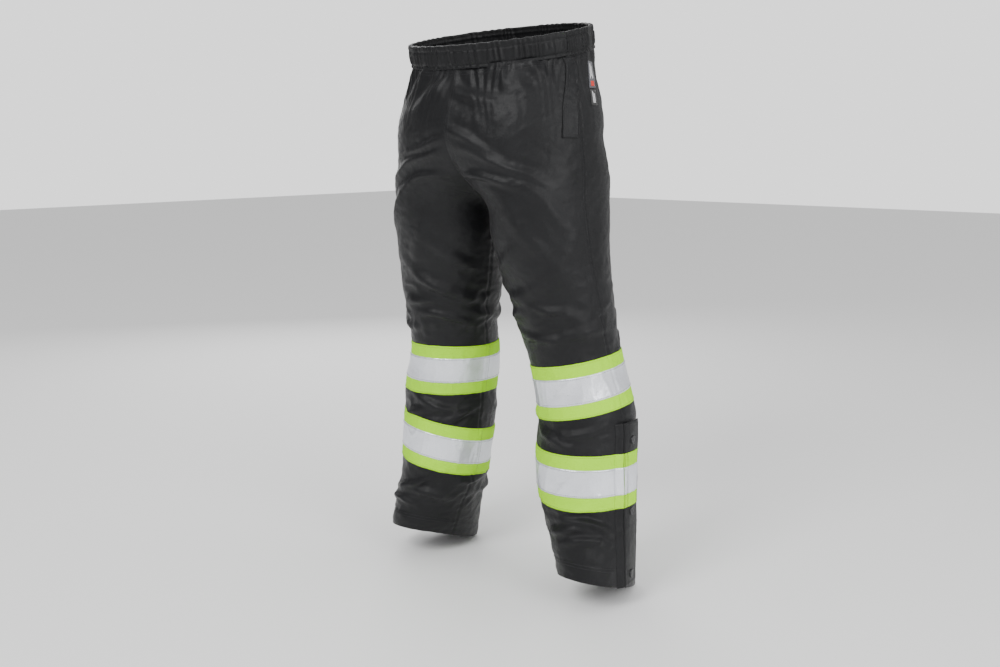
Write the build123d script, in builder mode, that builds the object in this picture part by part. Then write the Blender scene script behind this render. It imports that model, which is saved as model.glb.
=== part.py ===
"""Insulated pull-on safety trousers in their worn shape, without a wearer.

Millimetres, +Z up. The front faces -Y and the wearer's left side is at +X. The origin is on the ground
plane, under the middle of the garment, and the backs of the two hems reach down to that plane.

Each leg is one ruled loft through ellipses. Concentric lofts give the layers: shell fabric, the space for pocket
bags and zip tape, quilted lining, and the bands sewn on outside. Planes then cut every layer into the parts
that stay rigid and the sleeves that bend at the hip and the knee. The left leg is modelled and the right
one mirrored; only the tilt of the high-visibility bands and the side labels differ.
"""
from build123d import *

import math
import os
from dataclasses import dataclass

# ---- layers, measured from the outside of the shell fabric, outwards positive ----
SHELL_INSIDE = -2.0
POCKET_LAYER = (-4.2, -2.3)
TAPE_LAYER = (-3.9, -2.6)
HEM_LAYER = (-3.9, -2.3)
LINING_LAYER = (-6.8, -4.8)
BAND_LAYER = (0.25, 1.35)
STRIP_LAYER = (1.5, 2.3)
WELT_LAYER = (0.3, 2.3)
LABEL_LAYER = (0.4, 1.2)

# ---- overall shape ----
FORE_AFT = 22.5  # moves every section so that the garment's box is centred on the origin
GROUND = 37.1  # heights below are counted from this far above the ground
SEAM_ANGLE = math.radians(-10)  # the side seam lies forward of the section's widest point
HALF_GAP = 0.15  # each leg's share of the centre seam

# ---- waist ----
WAIST_HEIGHT = 1007.0  # of the waistband's top edge, at its middle
WAIST_SLOPE = 0.21  # the back of the waist is worn higher than the front
CASING_HEIGHT = 38.0
CASING_OUT = 1.5
CASING_IN = -6.0
CHANNEL = (-4.6, 0.2)  # the tunnel that holds the elastic
ELASTIC = (-3.2, -1.4)
ELASTIC_HEIGHT = 32.0

# ---- hems ----
HEM_HEIGHT = 6.0  # of the lower edge, beside the ankle
HEM_SLOPE = -0.32  # the boot holds the front of the hem up
HEM_DEPTH = 35.0
LINING_SETBACK = 42.0

# ---- joints' cutting planes ----
CROTCH_HEIGHT = 720.0
CREASE_SLOPE = 0.58  # the hip crease rises this much for each millimetre outwards
HIP_SLEEVE_DROP = 135.0
KNEE_TOP = 570.0
KNEE_BOTTOM = 442.0

# ---- high-visibility bands: height at the leg's axis, and rise per millimetre outwards and backwards ----
BAND_WIDTH = 101.6
STRIP_WIDTH = 50.8
UPPER_BAND = {"left": (372.0, 0.17, 0.10), "right": (366.0, 0.0, 0.0)}
LOWER_BAND = {"left": (204.0, 0.0, 0.0), "right": (202.0, 0.15, -0.16)}

# ---- leg zip, its flap and its snaps, along the straight side seam of the lower leg ----
ZIP_BOTTOM, ZIP_TOP = 16.0, 302.0
SLOT_HALF_WIDTH = 6.0
TAPE_HALF_WIDTH = 14.0
CHAIN_WIDTH, CHAIN_THICKNESS = 6.0, 2.2
FLAP_FRONT, FLAP_HINGE, FLAP_BACK = -20.0, -11.0, 37.0
FLAP_BOTTOM, FLAP_TOP = 4.0, 310.0
FLAP_GAP = 0.8
FLAP_THICKNESS = 1.6
FLAP_LIFT = 5.4  # inner face of the flap over the zip
SNAP_SEAT = 14.0  # snaps' distance behind the side seam
SNAP_HEIGHTS = (22.0, 142.0, 276.0)
SNAP_CAP_RADIUS = 7.5

# ---- zip slider ----
SLIDER_LENGTH, SLIDER_WIDTH = 11.0, 9.4
SLIDER_START = 26.0  # height of the slider's lower end when the zip is closed
PULL_LENGTH, PULL_WIDTH, PULL_THICKNESS = 23.0, 5.0, 1.2
PIVOT_RADIUS = 0.7

# ---- pockets ----
POCKET_LOW, POCKET_HIGH = 820.0, 956.0
POCKET_LINE = -50.0  # distance of the welt's free edge in front of the garment's middle
WELT_WIDTH = 27.0
MOUTH_WIDTH = 5.0
BAG_LOW = 765.0
BAG_WIDTH = 120.0

FAR = 900.0  # larger than the garment, for cutting blocks


@dataclass(frozen=True)
class Section:
    """One level of the left leg: an ellipse, turned outwards by toe_out degrees."""

    z: float
    x: float
    y: float
    half_width: float
    half_depth: float
    toe_out: float = 0.0

    def plane(self):
        """The section's own plane, with local x across the leg and local y towards the back."""
        turn = math.radians(self.toe_out)
        across = (math.cos(turn), math.sin(turn), 0)
        return Plane(origin=(self.x, self.y + FORE_AFT, self.z), x_dir=across, z_dir=(0, 0, 1))


SIDE_SEAM_LOW = Vector(276, 23, 0)
SIDE_SEAM_HIGH = Vector(262, 32, 320)


def cuff(z, half_width, half_depth, toe_out):
    """A section of the lower leg, hung on the straight side seam that the zip follows."""
    seam = SIDE_SEAM_LOW + (SIDE_SEAM_HIGH - SIDE_SEAM_LOW) * (z / SIDE_SEAM_HIGH.Z)
    turn = math.radians(toe_out)
    across, back = half_width * math.cos(SEAM_ANGLE), half_depth * math.sin(SEAM_ANGLE)
    x = seam.X - across * math.cos(turn) + back * math.sin(turn)
    y = seam.Y - across * math.sin(turn) - back * math.cos(turn)
    return Section(z, x, y, half_width, half_depth, toe_out)


SECTIONS = [
    cuff(-45, 54, 108, 12),
    cuff(60, 72, 101, 11),
    cuff(130, 85, 97, 9),
    cuff(230, 92, 97, 7),
    cuff(320, 91, 94, 5),
    Section(400, 154, 33, 87, 91, 3),
    Section(470, 146, 17, 89, 93, 2),
    Section(550, 134, 5, 95, 102, 1),
    Section(640, 121, -8, 104, 114),
    Section(720, 108, -10, 108, 126),
    Section(765, 70, -8, 146, 138),
    Section(815, 26, -14, 188, 147),
    Section(870, 0, -18, 216, 158),
    Section(930, 0, -28, 214, 157),
    Section(985, 0, -16, 196, 142),
    Section(1085, 0, -6, 188, 134),
]
WAIST_SECTION = SECTIONS[-1]


# ---- planes ----
def sloped_plane(height, outwards, backwards, x=0.0, y=FORE_AFT):
    """The plane z = height + outwards * (X - x) + backwards * (Y - y)."""
    return Plane(origin=(x, y, height), z_dir=(-outwards, -backwards, 1))


WAIST_TOP = sloped_plane(WAIST_HEIGHT, 0, WAIST_SLOPE)
WAIST_SEAM = sloped_plane(WAIST_HEIGHT - CASING_HEIGHT, 0, WAIST_SLOPE)
HEM_EDGE = sloped_plane(HEM_HEIGHT, 0, HEM_SLOPE)
HEM_STITCH = sloped_plane(HEM_HEIGHT + HEM_DEPTH, 0, HEM_SLOPE)
LINING_EDGE = sloped_plane(HEM_HEIGHT + LINING_SETBACK, 0, HEM_SLOPE)
CREASE = sloped_plane(CROTCH_HEIGHT, CREASE_SLOPE, 0)
SLEEVE_END = sloped_plane(CROTCH_HEIGHT - HIP_SLEEVE_DROP, CREASE_SLOPE, 0)
KNEE_UPPER = Plane.XY.offset(KNEE_TOP)
KNEE_LOWER = Plane.XY.offset(KNEE_BOTTOM)
CENTRE = Plane.YZ.offset(HALF_GAP)

seam_run = (SIDE_SEAM_HIGH - SIDE_SEAM_LOW).normalized()
seam_foot = SIDE_SEAM_LOW + Vector(0, FORE_AFT, 0)
outwards = (Vector(1, 0, 0) - seam_run * seam_run.X).normalized()
# Local x points out of the leg, local y to the back and local z up along the zip.
ZIP = Plane(origin=seam_foot, x_dir=outwards, z_dir=seam_run)


# ---- shared shapes ----
def levels(low, high):
    """The sections that cover a span of heights, ending at the first one beyond each end."""
    first = max(index for index, level in enumerate(SECTIONS) if level.z <= low)
    last = min(index for index, level in enumerate(SECTIONS) if level.z >= high)
    return SECTIONS[first : last + 1]


def envelope(grow, low, high):
    """The left leg's solid outer form over a span of heights, with every ellipse grown by this much."""
    with BuildPart() as form:
        for level in levels(low, high):
            with BuildSketch(level.plane()):
                Ellipse(level.half_width + grow, level.half_depth + grow)
        loft(ruled=True)
    return form.part


def layer(offsets, low, high):
    """A layer of the left leg between two offsets, cut at the centre, the waist seam and the hem."""
    inner, outer = offsets
    with BuildPart() as skin:
        add(envelope(outer, low, high))
        add(envelope(inner, low, high), mode=Mode.SUBTRACT)
        if high > CROTCH_HEIGHT:
            split(bisect_by=CENTRE, keep=Keep.TOP)
        if high >= WAIST_SECTION.z:
            split(bisect_by=WAIST_SEAM, keep=Keep.BOTTOM)
        if low <= HEM_HEIGHT + HEM_DEPTH:
            split(bisect_by=HEM_EDGE, keep=Keep.TOP)
    return skin.part


def front_block(low, high):
    """Everything in front of the side seam and the inseam, which both run at the seam angle."""
    margin = 20
    with BuildPart() as block:
        for level in levels(low, high):
            seam = level.half_depth * math.sin(SEAM_ANGLE)
            front = -level.half_depth - margin
            with BuildSketch(level.plane()):
                with Locations((0, (seam + front) / 2)):
                    Rectangle(2 * (level.half_width + margin), seam - front)
        loft(ruled=True)
    return block.part


def zip_block(front, back, low, high):
    """A straight block along the zip, between two distances behind the side seam."""
    reach = 40
    with BuildPart() as block:
        with BuildSketch(ZIP.offset(low)):
            with Locations((0, (back + front) / 2)):
                Rectangle(2 * reach, back - front)
        extrude(amount=high - low)
    return block.part


def between(solid, upper, lower):
    """The part of a layer that lies between two planes; either may be None."""
    with BuildPart() as zone:
        add(solid)
        if upper:
            split(bisect_by=upper, keep=Keep.BOTTOM)
        if lower:
            split(bisect_by=lower, keep=Keep.TOP)
    return zone.part


def skin_point(z, angle):
    """The point of the shell's outside at a height and an angle behind the section's outer end."""
    below, *_, above = levels(z, z + 1)
    share = (z - below.z) / (above.z - below.z)
    ends = []
    for level in (below, above):
        local = Vector(level.half_width * math.cos(angle), level.half_depth * math.sin(angle), 0)
        ends.append(level.plane().from_local_coords(local))
    return ends[0] * (1 - share) + ends[1] * share


def save(name, part):
    """Lifts one finished piece off the ground, labels it and writes it as the node of that name."""
    raised = part.moved(Location((0, 0, GROUND)))
    raised.label = name
    export_step(raised, f"parts/{name}.step")


def save_pair(name, part):
    """Writes a left piece and its mirror image for the right leg."""
    save(f"{name}_left", part)
    with BuildPart() as twin:
        mirror(part, about=Plane.YZ)
    save(f"{name}_right", twin.part)


# ---- waistband ----
def waist_ring(inner, outer, low, high):
    """An elliptical ring square to the waist, between two heights above the waist seam."""
    base = WAIST_SEAM.offset(low)
    middle = Plane(origin=base.origin, x_dir=(1, 0, 0), z_dir=base.z_dir)
    with BuildPart() as ring:
        with BuildSketch(middle):
            with Locations((0, WAIST_SECTION.y)):
                Ellipse(WAIST_SECTION.half_width + outer, WAIST_SECTION.half_depth + outer)
                Ellipse(
                    WAIST_SECTION.half_width + inner,
                    WAIST_SECTION.half_depth + inner,
                    mode=Mode.SUBTRACT,
                )
        extrude(amount=high - low)
    return ring.part


def build_waistband():
    """The fabric casing, open below where it is sewn to the panels, and the elastic inside it."""
    fold = 2.0
    with BuildPart() as casing:
        add(waist_ring(CASING_IN, CASING_OUT, 0, CASING_HEIGHT))
        add(waist_ring(*CHANNEL, 0, CASING_HEIGHT - fold), mode=Mode.SUBTRACT)
    save("waistband_casing", casing.part)
    elastic_low = (CASING_HEIGHT - fold - ELASTIC_HEIGHT) / 2
    save("waist_elastic", waist_ring(*ELASTIC, elastic_low, elastic_low + ELASTIC_HEIGHT))


# ---- pockets ----
def pocket_block(front, back, low, high):
    """A block over the side of the seat, between two distances in front of the middle."""
    with BuildPart() as block:
        with BuildSketch(Plane.XY.offset(low)):
            with Locations((FAR / 4, FORE_AFT + (front + back) / 2)):
                Rectangle(FAR / 2, back - front)
        extrude(amount=high - low)
    return block.part


def pocket_mouth():
    """The slit in the front panel that the hand goes through, under the welt's free edge."""
    return pocket_block(POCKET_LINE - MOUTH_WIDTH, POCKET_LINE, POCKET_LOW + 6, POCKET_HIGH - 6)


def build_pockets():
    """The stitched-down welt over each pocket mouth, and the bag hanging behind the front panel."""
    with BuildPart() as welt:
        add(layer(WELT_LAYER, POCKET_LOW, POCKET_HIGH))
        add(
            pocket_block(POCKET_LINE - WELT_WIDTH, POCKET_LINE, POCKET_LOW, POCKET_HIGH),
            mode=Mode.INTERSECT,
        )
    save_pair("pocket_welt", welt.part)
    with BuildPart() as bag:
        add(layer(POCKET_LAYER, BAG_LOW, POCKET_HIGH + 4))
        bag_back = POCKET_LINE + 10
        add(
            pocket_block(bag_back - BAG_WIDTH, bag_back, BAG_LOW, POCKET_HIGH + 4),
            mode=Mode.INTERSECT,
        )
        split(bisect_by=Plane.YZ.offset(60), keep=Keep.TOP)
    save_pair("pocket_bag", bag.part)


def build_labels():
    """Two small woven labels sewn beside the left side seam, under the waistband."""
    for name, back, low, high in (("side_label_upper", 8, 906, 952), ("side_label_lower", 6, 876, 903)):
        with BuildPart() as label:
            add(layer(LABEL_LAYER, low, high))
            add(pocket_block(-14, back, low, high), mode=Mode.INTERSECT)
        save(name, label.part)


# ---- the panels of the shell and the lining ----
def build_seat():
    """Front and back panels round the hips, and one lining across both sides."""
    low, high = CROTCH_HEIGHT, WAIST_SECTION.z
    shell = between(layer((SHELL_INSIDE, 0), low, high), None, CREASE)
    front = front_block(low, high)
    with BuildPart() as front_panel:
        add(shell)
        add(front, mode=Mode.INTERSECT)
        add(pocket_mouth(), mode=Mode.SUBTRACT)
    save_pair("front_seat", front_panel.part)
    with BuildPart() as back_panel:
        add(shell)
        add(front, mode=Mode.SUBTRACT)
    save_pair("back_seat", back_panel.part)
    half = between(layer(LINING_LAYER, low, high), None, CREASE)
    with BuildPart() as lining:
        add(half)
        mirror(half, about=Plane.YZ)
    save("seat_lining", lining.part)


def build_thigh():
    """Front and back panels of the thigh and their lining."""
    low, high = KNEE_TOP, CROTCH_HEIGHT
    shell = between(layer((SHELL_INSIDE, 0), low, high), SLEEVE_END, KNEE_UPPER)
    front = front_block(low, high)
    for name, mode in (("front_thigh", Mode.INTERSECT), ("back_thigh", Mode.SUBTRACT)):
        with BuildPart() as panel:
            add(shell)
            add(front, mode=mode)
        save_pair(name, panel.part)
    save_pair("thigh_lining", between(layer(LINING_LAYER, low, high), SLEEVE_END, KNEE_UPPER))


def build_shin():
    """Front and back panels below the knee and their lining, all open along the zip."""
    low, high = SECTIONS[0].z, KNEE_BOTTOM
    zip_slot = zip_block(-SLOT_HALF_WIDTH, SLOT_HALF_WIDTH, -40, ZIP_TOP)
    shell = between(layer((SHELL_INSIDE, 0), low, high), KNEE_LOWER, None)
    front = front_block(low, high)
    for name, mode in (("front_shin", Mode.INTERSECT), ("back_shin", Mode.SUBTRACT)):
        with BuildPart() as panel:
            add(shell)
            add(front, mode=mode)
            add(zip_slot, mode=Mode.SUBTRACT)
        save_pair(name, panel.part)
    with BuildPart() as lining:
        add(between(layer(LINING_LAYER, low, high), KNEE_LOWER, LINING_EDGE))
        add(zip_slot, mode=Mode.SUBTRACT)
    save_pair("shin_lining", lining.part)


def build_sleeves():
    """Shell and lining where the garment bends, at the hip and at the knee."""
    spans = (
        ("hip_sleeve", CREASE, SLEEVE_END, CROTCH_HEIGHT - HIP_SLEEVE_DROP, 870),
        ("knee_sleeve", KNEE_UPPER, KNEE_LOWER, KNEE_BOTTOM, KNEE_TOP),
    )
    for name, upper, lower, low, high in spans:
        with BuildPart() as bend:
            add(between(layer((SHELL_INSIDE, 0), low, high), upper, lower))
            add(between(layer(LINING_LAYER, low, high), upper, lower))
        save_pair(name, bend.part)


# ---- bands ----
def ring(offsets, spec, width):
    """A band of a layer round the leg, between two sloped planes this far apart."""
    height, outwards_rise, backwards_rise = spec
    axis = levels(height, height)[0]
    middle = sloped_plane(height, outwards_rise, backwards_rise, axis.x, axis.y + FORE_AFT)
    skin = layer(offsets, height - 90, height + 90)
    return between(skin, middle.offset(width / 2), middle.offset(-width / 2))


def build_bands():
    """The bright backing bands and the silver strips on them, on each leg and on the flap."""
    flap_zone = zip_block(FLAP_FRONT - 1, SLOT_HALF_WIDTH + 1, -40, ZIP_TOP + 20)
    cover_zone = zip_block(FLAP_HINGE + 0.9, FLAP_BACK - 0.5, -40, ZIP_TOP)
    face = FLAP_LIFT + FLAP_THICKNESS
    kinds = (
        ("hivis_band", BAND_WIDTH, BAND_LAYER),
        ("reflective_strip", STRIP_WIDTH, STRIP_LAYER),
    )
    for kind, width, offsets in kinds:
        over_flap = (face + offsets[0], face + offsets[1])
        for side in ("left", "right"):
            with BuildPart() as on_leg:
                add(ring(offsets, LOWER_BAND[side], width))
                add(flap_zone, mode=Mode.SUBTRACT)
                add(ring(offsets, UPPER_BAND[side], width))
            with BuildPart() as on_flap:
                add(ring(over_flap, LOWER_BAND[side], width))
                add(cover_zone, mode=Mode.INTERSECT)
            for name, piece in ((f"{kind}s", on_leg.part), (f"flap_{kind}", on_flap.part)):
                with BuildPart() as placed:
                    if side == "left":
                        add(piece)
                    else:
                        mirror(piece, about=Plane.YZ)
                save(f"{name}_{side}", placed.part)


def build_hem():
    """The turned-up fabric inside the hem, open at the zip."""
    with BuildPart() as facing:
        add(between(layer(HEM_LAYER, SECTIONS[0].z, HEM_HEIGHT + 2 * HEM_DEPTH), HEM_STITCH, None))
        add(zip_block(-TAPE_HALF_WIDTH - 1, TAPE_HALF_WIDTH + 1, -40, ZIP_TOP), mode=Mode.SUBTRACT)
    save_pair("hem_facing", facing.part)


# ---- leg zip ----
def build_zip():
    """The woven tape behind the slot and the coil chain on it."""
    with BuildPart() as tape:
        add(layer(TAPE_LAYER, 0, ZIP_TOP + 6))
        add(zip_block(-TAPE_HALF_WIDTH, TAPE_HALF_WIDTH, ZIP_BOTTOM - 8, ZIP_TOP + 6), mode=Mode.INTERSECT)
    save_pair("zip_tape", tape.part)
    with BuildPart() as chain:
        with BuildSketch(ZIP.offset(ZIP_BOTTOM)):
            with Locations((-CHAIN_THICKNESS / 2, 0)):
                RectangleRounded(CHAIN_THICKNESS, CHAIN_WIDTH, 0.9)
        extrude(amount=ZIP_TOP - 4 - ZIP_BOTTOM)
    save_pair("zip_coil", chain.part)


def build_slider():
    """The slider straddling the chain with its lug, and the pull tab hinged on the lug's pin."""
    clearance = 0.35
    plate = 1.1
    top = clearance + plate
    lug_height, lug_length, lug_width = 2.4, 3.2, 3.0
    pin_out = top + 1.25
    pin_up = SLIDER_START + SLIDER_LENGTH * 0.62
    half_channel = CHAIN_WIDTH / 2 + clearance
    with BuildPart() as slider:
        with BuildSketch(ZIP.offset(SLIDER_START)):
            with Locations(((top - CHAIN_THICKNESS) / 2, 0)):
                Rectangle(top + CHAIN_THICKNESS, SLIDER_WIDTH)
            with Locations((clearance - CHAIN_THICKNESS / 2 - 0.5, 0)):
                Rectangle(CHAIN_THICKNESS + 1.0, 2 * half_channel, mode=Mode.SUBTRACT)
        extrude(amount=SLIDER_LENGTH)
        corners = slider.edges().filter_by(Axis.X, tolerance=5).group_by(SortBy.LENGTH)[-1]
        fillet(corners, 1.2)
        with BuildSketch(ZIP.offset(pin_up - lug_length / 2)):
            with Locations((top + lug_height / 2 - 0.1, 0)):
                Rectangle(lug_height + 0.2, lug_width)
        extrude(amount=lug_length)
        with BuildSketch(pin_plane(pin_out, pin_up)):
            Circle(PIVOT_RADIUS + 0.05)
        extrude(amount=lug_width, both=True, mode=Mode.SUBTRACT)
    save_pair("zip_slider", slider.part)

    arm = 0.9
    eye_half = lug_width / 2 + 0.25
    with BuildPart() as pull:
        with BuildSketch(pin_plane(pin_out, pin_up)):
            Circle(PIVOT_RADIUS)
        extrude(amount=eye_half + arm, both=True)
        tab_top = pin_up - lug_length / 2 - 0.8
        with BuildSketch(ZIP.offset(tab_top - PULL_LENGTH)):
            with Locations((pin_out, 0)):
                RectangleRounded(PULL_THICKNESS, PULL_WIDTH, 0.4)
        extrude(amount=PULL_LENGTH)
        for hand in (-1, 1):
            with BuildSketch(ZIP.offset(tab_top - 1)):
                with Locations((pin_out, hand * (eye_half + arm / 2))):
                    Rectangle(PULL_THICKNESS, arm)
            extrude(amount=pin_up + PIVOT_RADIUS + 0.4 - tab_top + 1)
    save_pair("zip_pull", pull.part)


def pin_plane(out, up):
    """A plane across the zip at the pull tab's pin, whose normal runs backwards."""
    centre = ZIP.from_local_coords(Vector(out, 0, up))
    return Plane(origin=centre, x_dir=ZIP.x_dir, z_dir=ZIP.y_dir)


# ---- storm flap and snaps ----
def build_flap():
    """The flap over the zip: a stitched flange with its riser, and the cover that swings open."""
    outer = FLAP_LIFT + FLAP_THICKNESS
    riser = FLAP_THICKNESS
    flange = (FLAP_GAP, FLAP_GAP + FLAP_THICKNESS)
    with BuildPart() as root:
        for offsets, front, back in (
            (flange, FLAP_FRONT, FLAP_HINGE),
            ((FLAP_GAP, FLAP_LIFT + 0.8), FLAP_HINGE - riser, FLAP_HINGE),
        ):
            with BuildPart(mode=Mode.PRIVATE) as strip:
                add(layer(offsets, 0, FLAP_TOP))
                add(zip_block(front, back, FLAP_BOTTOM, FLAP_TOP), mode=Mode.INTERSECT)
            add(strip.part)
    save_pair("flap_root", root.part)
    with BuildPart() as cover:
        add(layer((FLAP_LIFT, outer), 0, FLAP_TOP))
        add(zip_block(FLAP_HINGE + 0.7, FLAP_BACK, FLAP_BOTTOM, FLAP_TOP), mode=Mode.INTERSECT)
    save_pair("storm_flap", cover.part)


def snap_plane(height):
    """The plane on the shell under a snap, facing straight out of the leg, with local x downwards."""
    depth = levels(height, height)[0].half_depth
    angle = math.asin(math.sin(SEAM_ANGLE) + SNAP_SEAT / depth)
    around = skin_point(height, angle + 0.02) - skin_point(height, angle - 0.02)
    facing = around.cross(ZIP.z_dir)
    return Plane(origin=skin_point(height, angle), x_dir=-ZIP.z_dir, z_dir=facing)


def snap_group(profile, lift):
    """Three turned pieces, one at each snap, from a profile of (radius, height) points."""
    with BuildPart() as group:
        for height in SNAP_HEIGHTS:
            base = snap_plane(height).offset(lift)
            with BuildSketch(Plane(origin=base.origin, x_dir=base.x_dir, z_dir=-base.y_dir)):
                with BuildLine():
                    Polyline(*profile, close=True)
                make_face()
            revolve(axis=Axis(base.origin, base.z_dir))
    return group.part


def build_snaps():
    """Caps outside the flap, sockets inside it, and studs on the panel below."""
    face = FLAP_LIFT + FLAP_THICKNESS
    cap = ((0, 0.0), (SNAP_CAP_RADIUS, 0.0), (SNAP_CAP_RADIUS, 0.9), (6.4, 1.9), (3.0, 2.4), (0, 2.5))
    socket = ((2.4, 0.0), (5.2, 0.0), (5.2, 1.0), (4.2, 2.2), (2.4, 2.2))
    stud = ((0, 0.0), (4.4, 0.0), (4.4, 0.8), (1.6, 1.3), (1.6, 2.4), (2.0, 3.2), (1.3, 3.9), (0, 3.9))
    save_pair("snap_caps", snap_group(cap, face + 0.3))
    save_pair("snap_sockets", snap_group(socket, FLAP_LIFT - 2.5))
    save_pair("snap_studs", snap_group(stud, 0.3))


os.makedirs("parts", exist_ok=True)
build_waistband()
build_seat()
build_thigh()
build_shin()
build_sleeves()
build_pockets()
build_labels()
build_bands()
build_hem()
build_zip()
build_slider()
build_flap()
build_snaps()
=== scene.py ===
"""Looks of a pair of insulated high-visibility safety trousers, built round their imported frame.

Every surface is sampled from one description of the garment. TrouserForm gives the smooth body of each
leg, and FoldField the folds and puckers that displace it. The bands, seams, zip and pockets are sampled
from the same two, so that they follow every fold of the fabric below them.

Lengths are in millimetres inside the geometry classes and are turned into metres when a mesh is made.
Angles run round a leg, from 0 at its outer side to pi / 2 at its back.
"""

import logging
import math
from collections.abc import Callable
from dataclasses import dataclass, field
from enum import Enum

import bmesh
import bpy
import numpy as np
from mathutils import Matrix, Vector

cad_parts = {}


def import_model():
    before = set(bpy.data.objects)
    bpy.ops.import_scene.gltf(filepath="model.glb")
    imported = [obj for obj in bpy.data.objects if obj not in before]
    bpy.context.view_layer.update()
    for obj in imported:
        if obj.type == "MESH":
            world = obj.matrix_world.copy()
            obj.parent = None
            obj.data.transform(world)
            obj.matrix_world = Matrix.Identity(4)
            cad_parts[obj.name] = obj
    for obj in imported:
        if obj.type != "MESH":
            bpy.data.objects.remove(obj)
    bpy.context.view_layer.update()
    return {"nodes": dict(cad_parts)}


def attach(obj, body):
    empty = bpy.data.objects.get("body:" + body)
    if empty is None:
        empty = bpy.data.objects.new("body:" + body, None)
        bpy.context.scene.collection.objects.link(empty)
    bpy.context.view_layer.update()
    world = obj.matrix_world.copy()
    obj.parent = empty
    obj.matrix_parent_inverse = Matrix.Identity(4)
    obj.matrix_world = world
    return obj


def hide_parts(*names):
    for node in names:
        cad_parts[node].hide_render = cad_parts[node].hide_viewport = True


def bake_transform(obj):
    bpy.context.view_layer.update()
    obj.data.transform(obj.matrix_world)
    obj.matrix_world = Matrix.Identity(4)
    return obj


LOG = logging.getLogger("trousers")
MM = 0.001
MERGE = 0.02

# ---- the frame's own dimensions, in millimetres, as the CAD has them ----
FORE_AFT, GROUND = 22.5, 37.1
WAIST_HEIGHT, WAIST_SLOPE, CASING_HEIGHT = 1007.0, 0.21, 38.0
HEM_HEIGHT, HEM_SLOPE, HEM_DEPTH = 6.0, -0.32, 35.0
SEAM_ANGLE = math.radians(-10)
CREASE_HEIGHT, CREASE_SLOPE, HIP_SLEEVE_DROP = 720.0, 0.58, 135.0
KNEE_TOP, KNEE_BOTTOM, LEG_SPLIT = 570.0, 442.0, 577.0
ZIP_BOTTOM, ZIP_TOP, SLOT_HALF_WIDTH = 16.0, 302.0, 6.0
FLAP_FRONT, FLAP_HINGE, FLAP_BACK = -20.0, -11.0, 37.0
FLAP_BOTTOM, FLAP_TOP, FLAP_LIFT, FLAP_THICK = 4.0, 310.0, 5.4, 2.0
SNAP_SEAT, SNAP_HEIGHTS = 14.0, (22.0, 142.0, 276.0)
BAND_WIDTH, STRIP_WIDTH = 101.6, 50.8
WAIST_SEAM = WAIST_HEIGHT - CASING_HEIGHT
LEG_RADIUS = 95.0


class Side(Enum):
    """The wearer's sides, with the sign of x on each."""

    LEFT = 1
    RIGHT = -1

    @property
    def word(self) -> str:
        """The side's name as the frame's nodes and bodies spell it."""
        return self.name.lower()

    def body(self, part: str) -> str:
        """The name of this side's CAD body."""
        return f"{self.word}_{part}"


# -------------------- mathematics on grids
def smoothstep(value: np.ndarray, low: float, high: float) -> np.ndarray:
    """A smooth rise from 0 at low to 1 at high."""
    t = np.clip((value - low) / (high - low), 0.0, 1.0)
    return t * t * (3.0 - 2.0 * t)


def bell(value: np.ndarray, centre: float, width: float) -> np.ndarray:
    """A smooth bump of height 1 at centre."""
    return np.exp(-(((value - centre) / width) ** 2))


def smooth_table(knots: np.ndarray, rows: np.ndarray, at: np.ndarray) -> np.ndarray:
    """Cubic interpolation of several columns through knots.

    Args:
        knots: rising positions of the rows.
        rows: one row of values per knot.
        at: positions to read, of any shape.

    Returns:
        An array of at's shape with one more axis, over the columns.
    """
    steps = np.diff(knots)
    slopes = np.diff(rows, axis=0) / steps[:, None]
    tangents = np.empty_like(rows)
    tangents[1:-1] = (slopes[:-1] * steps[1:, None] + slopes[1:] * steps[:-1, None]) / (
        steps[1:] + steps[:-1]
    )[:, None]
    tangents[0], tangents[-1] = slopes[0], slopes[-1]
    index = np.clip(np.searchsorted(knots, at, side="right") - 1, 0, len(steps) - 1)
    width = steps[index]
    t = ((at - knots[index]) / width)[..., None]
    low, high = rows[index], rows[index + 1]
    start, end = tangents[index] * width[..., None], tangents[index + 1] * width[..., None]
    return (
        low * (2 * t**3 - 3 * t**2 + 1)
        + start * (t**3 - 2 * t**2 + t)
        + high * (3 * t**2 - 2 * t**3)
        + end * (t**3 - t**2)
    )


def unit(vectors: np.ndarray) -> np.ndarray:
    """Vectors scaled to length 1 along the last axis."""
    return vectors / np.maximum(np.linalg.norm(vectors, axis=-1, keepdims=True), 1e-12)


@dataclass
class WaveNoise:
    """Smooth repeatable noise: a sum of plane waves of random direction and phase.

    Attributes:
        seed: picks the waves.
        wavelength: typical wavelength in millimetres.
        stretch: how much longer the waves are along each axis.
        count: number of waves.
    """

    seed: int
    wavelength: float
    stretch: tuple[float, ...] = (1.0, 1.0, 1.0)
    count: int = 14
    vectors: np.ndarray = field(init=False)
    phases: np.ndarray = field(init=False)

    def __post_init__(self) -> None:
        random = np.random.default_rng(self.seed)
        directions = unit(random.normal(size=(self.count, len(self.stretch))))
        lengths = self.wavelength * random.uniform(0.7, 1.6, self.count)
        scale = 2 * math.pi / lengths[:, None] / np.asarray(self.stretch)
        self.vectors = directions * scale
        self.phases = random.uniform(0, 2 * math.pi, self.count)

    def __call__(self, points: np.ndarray) -> np.ndarray:
        """The sum of the sine waves, scaled to lie mostly between -1 and 1.

        Args:
            points: array with a last axis of as many numbers as stretch has.

        Returns:
            The noise at each point.
        """
        total = np.zeros(points.shape[:-1])
        for vector, phase in zip(self.vectors, self.phases):
            total += np.sin(points @ vector + phase)
        return total / math.sqrt(self.count / 2) / 1.4


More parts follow.
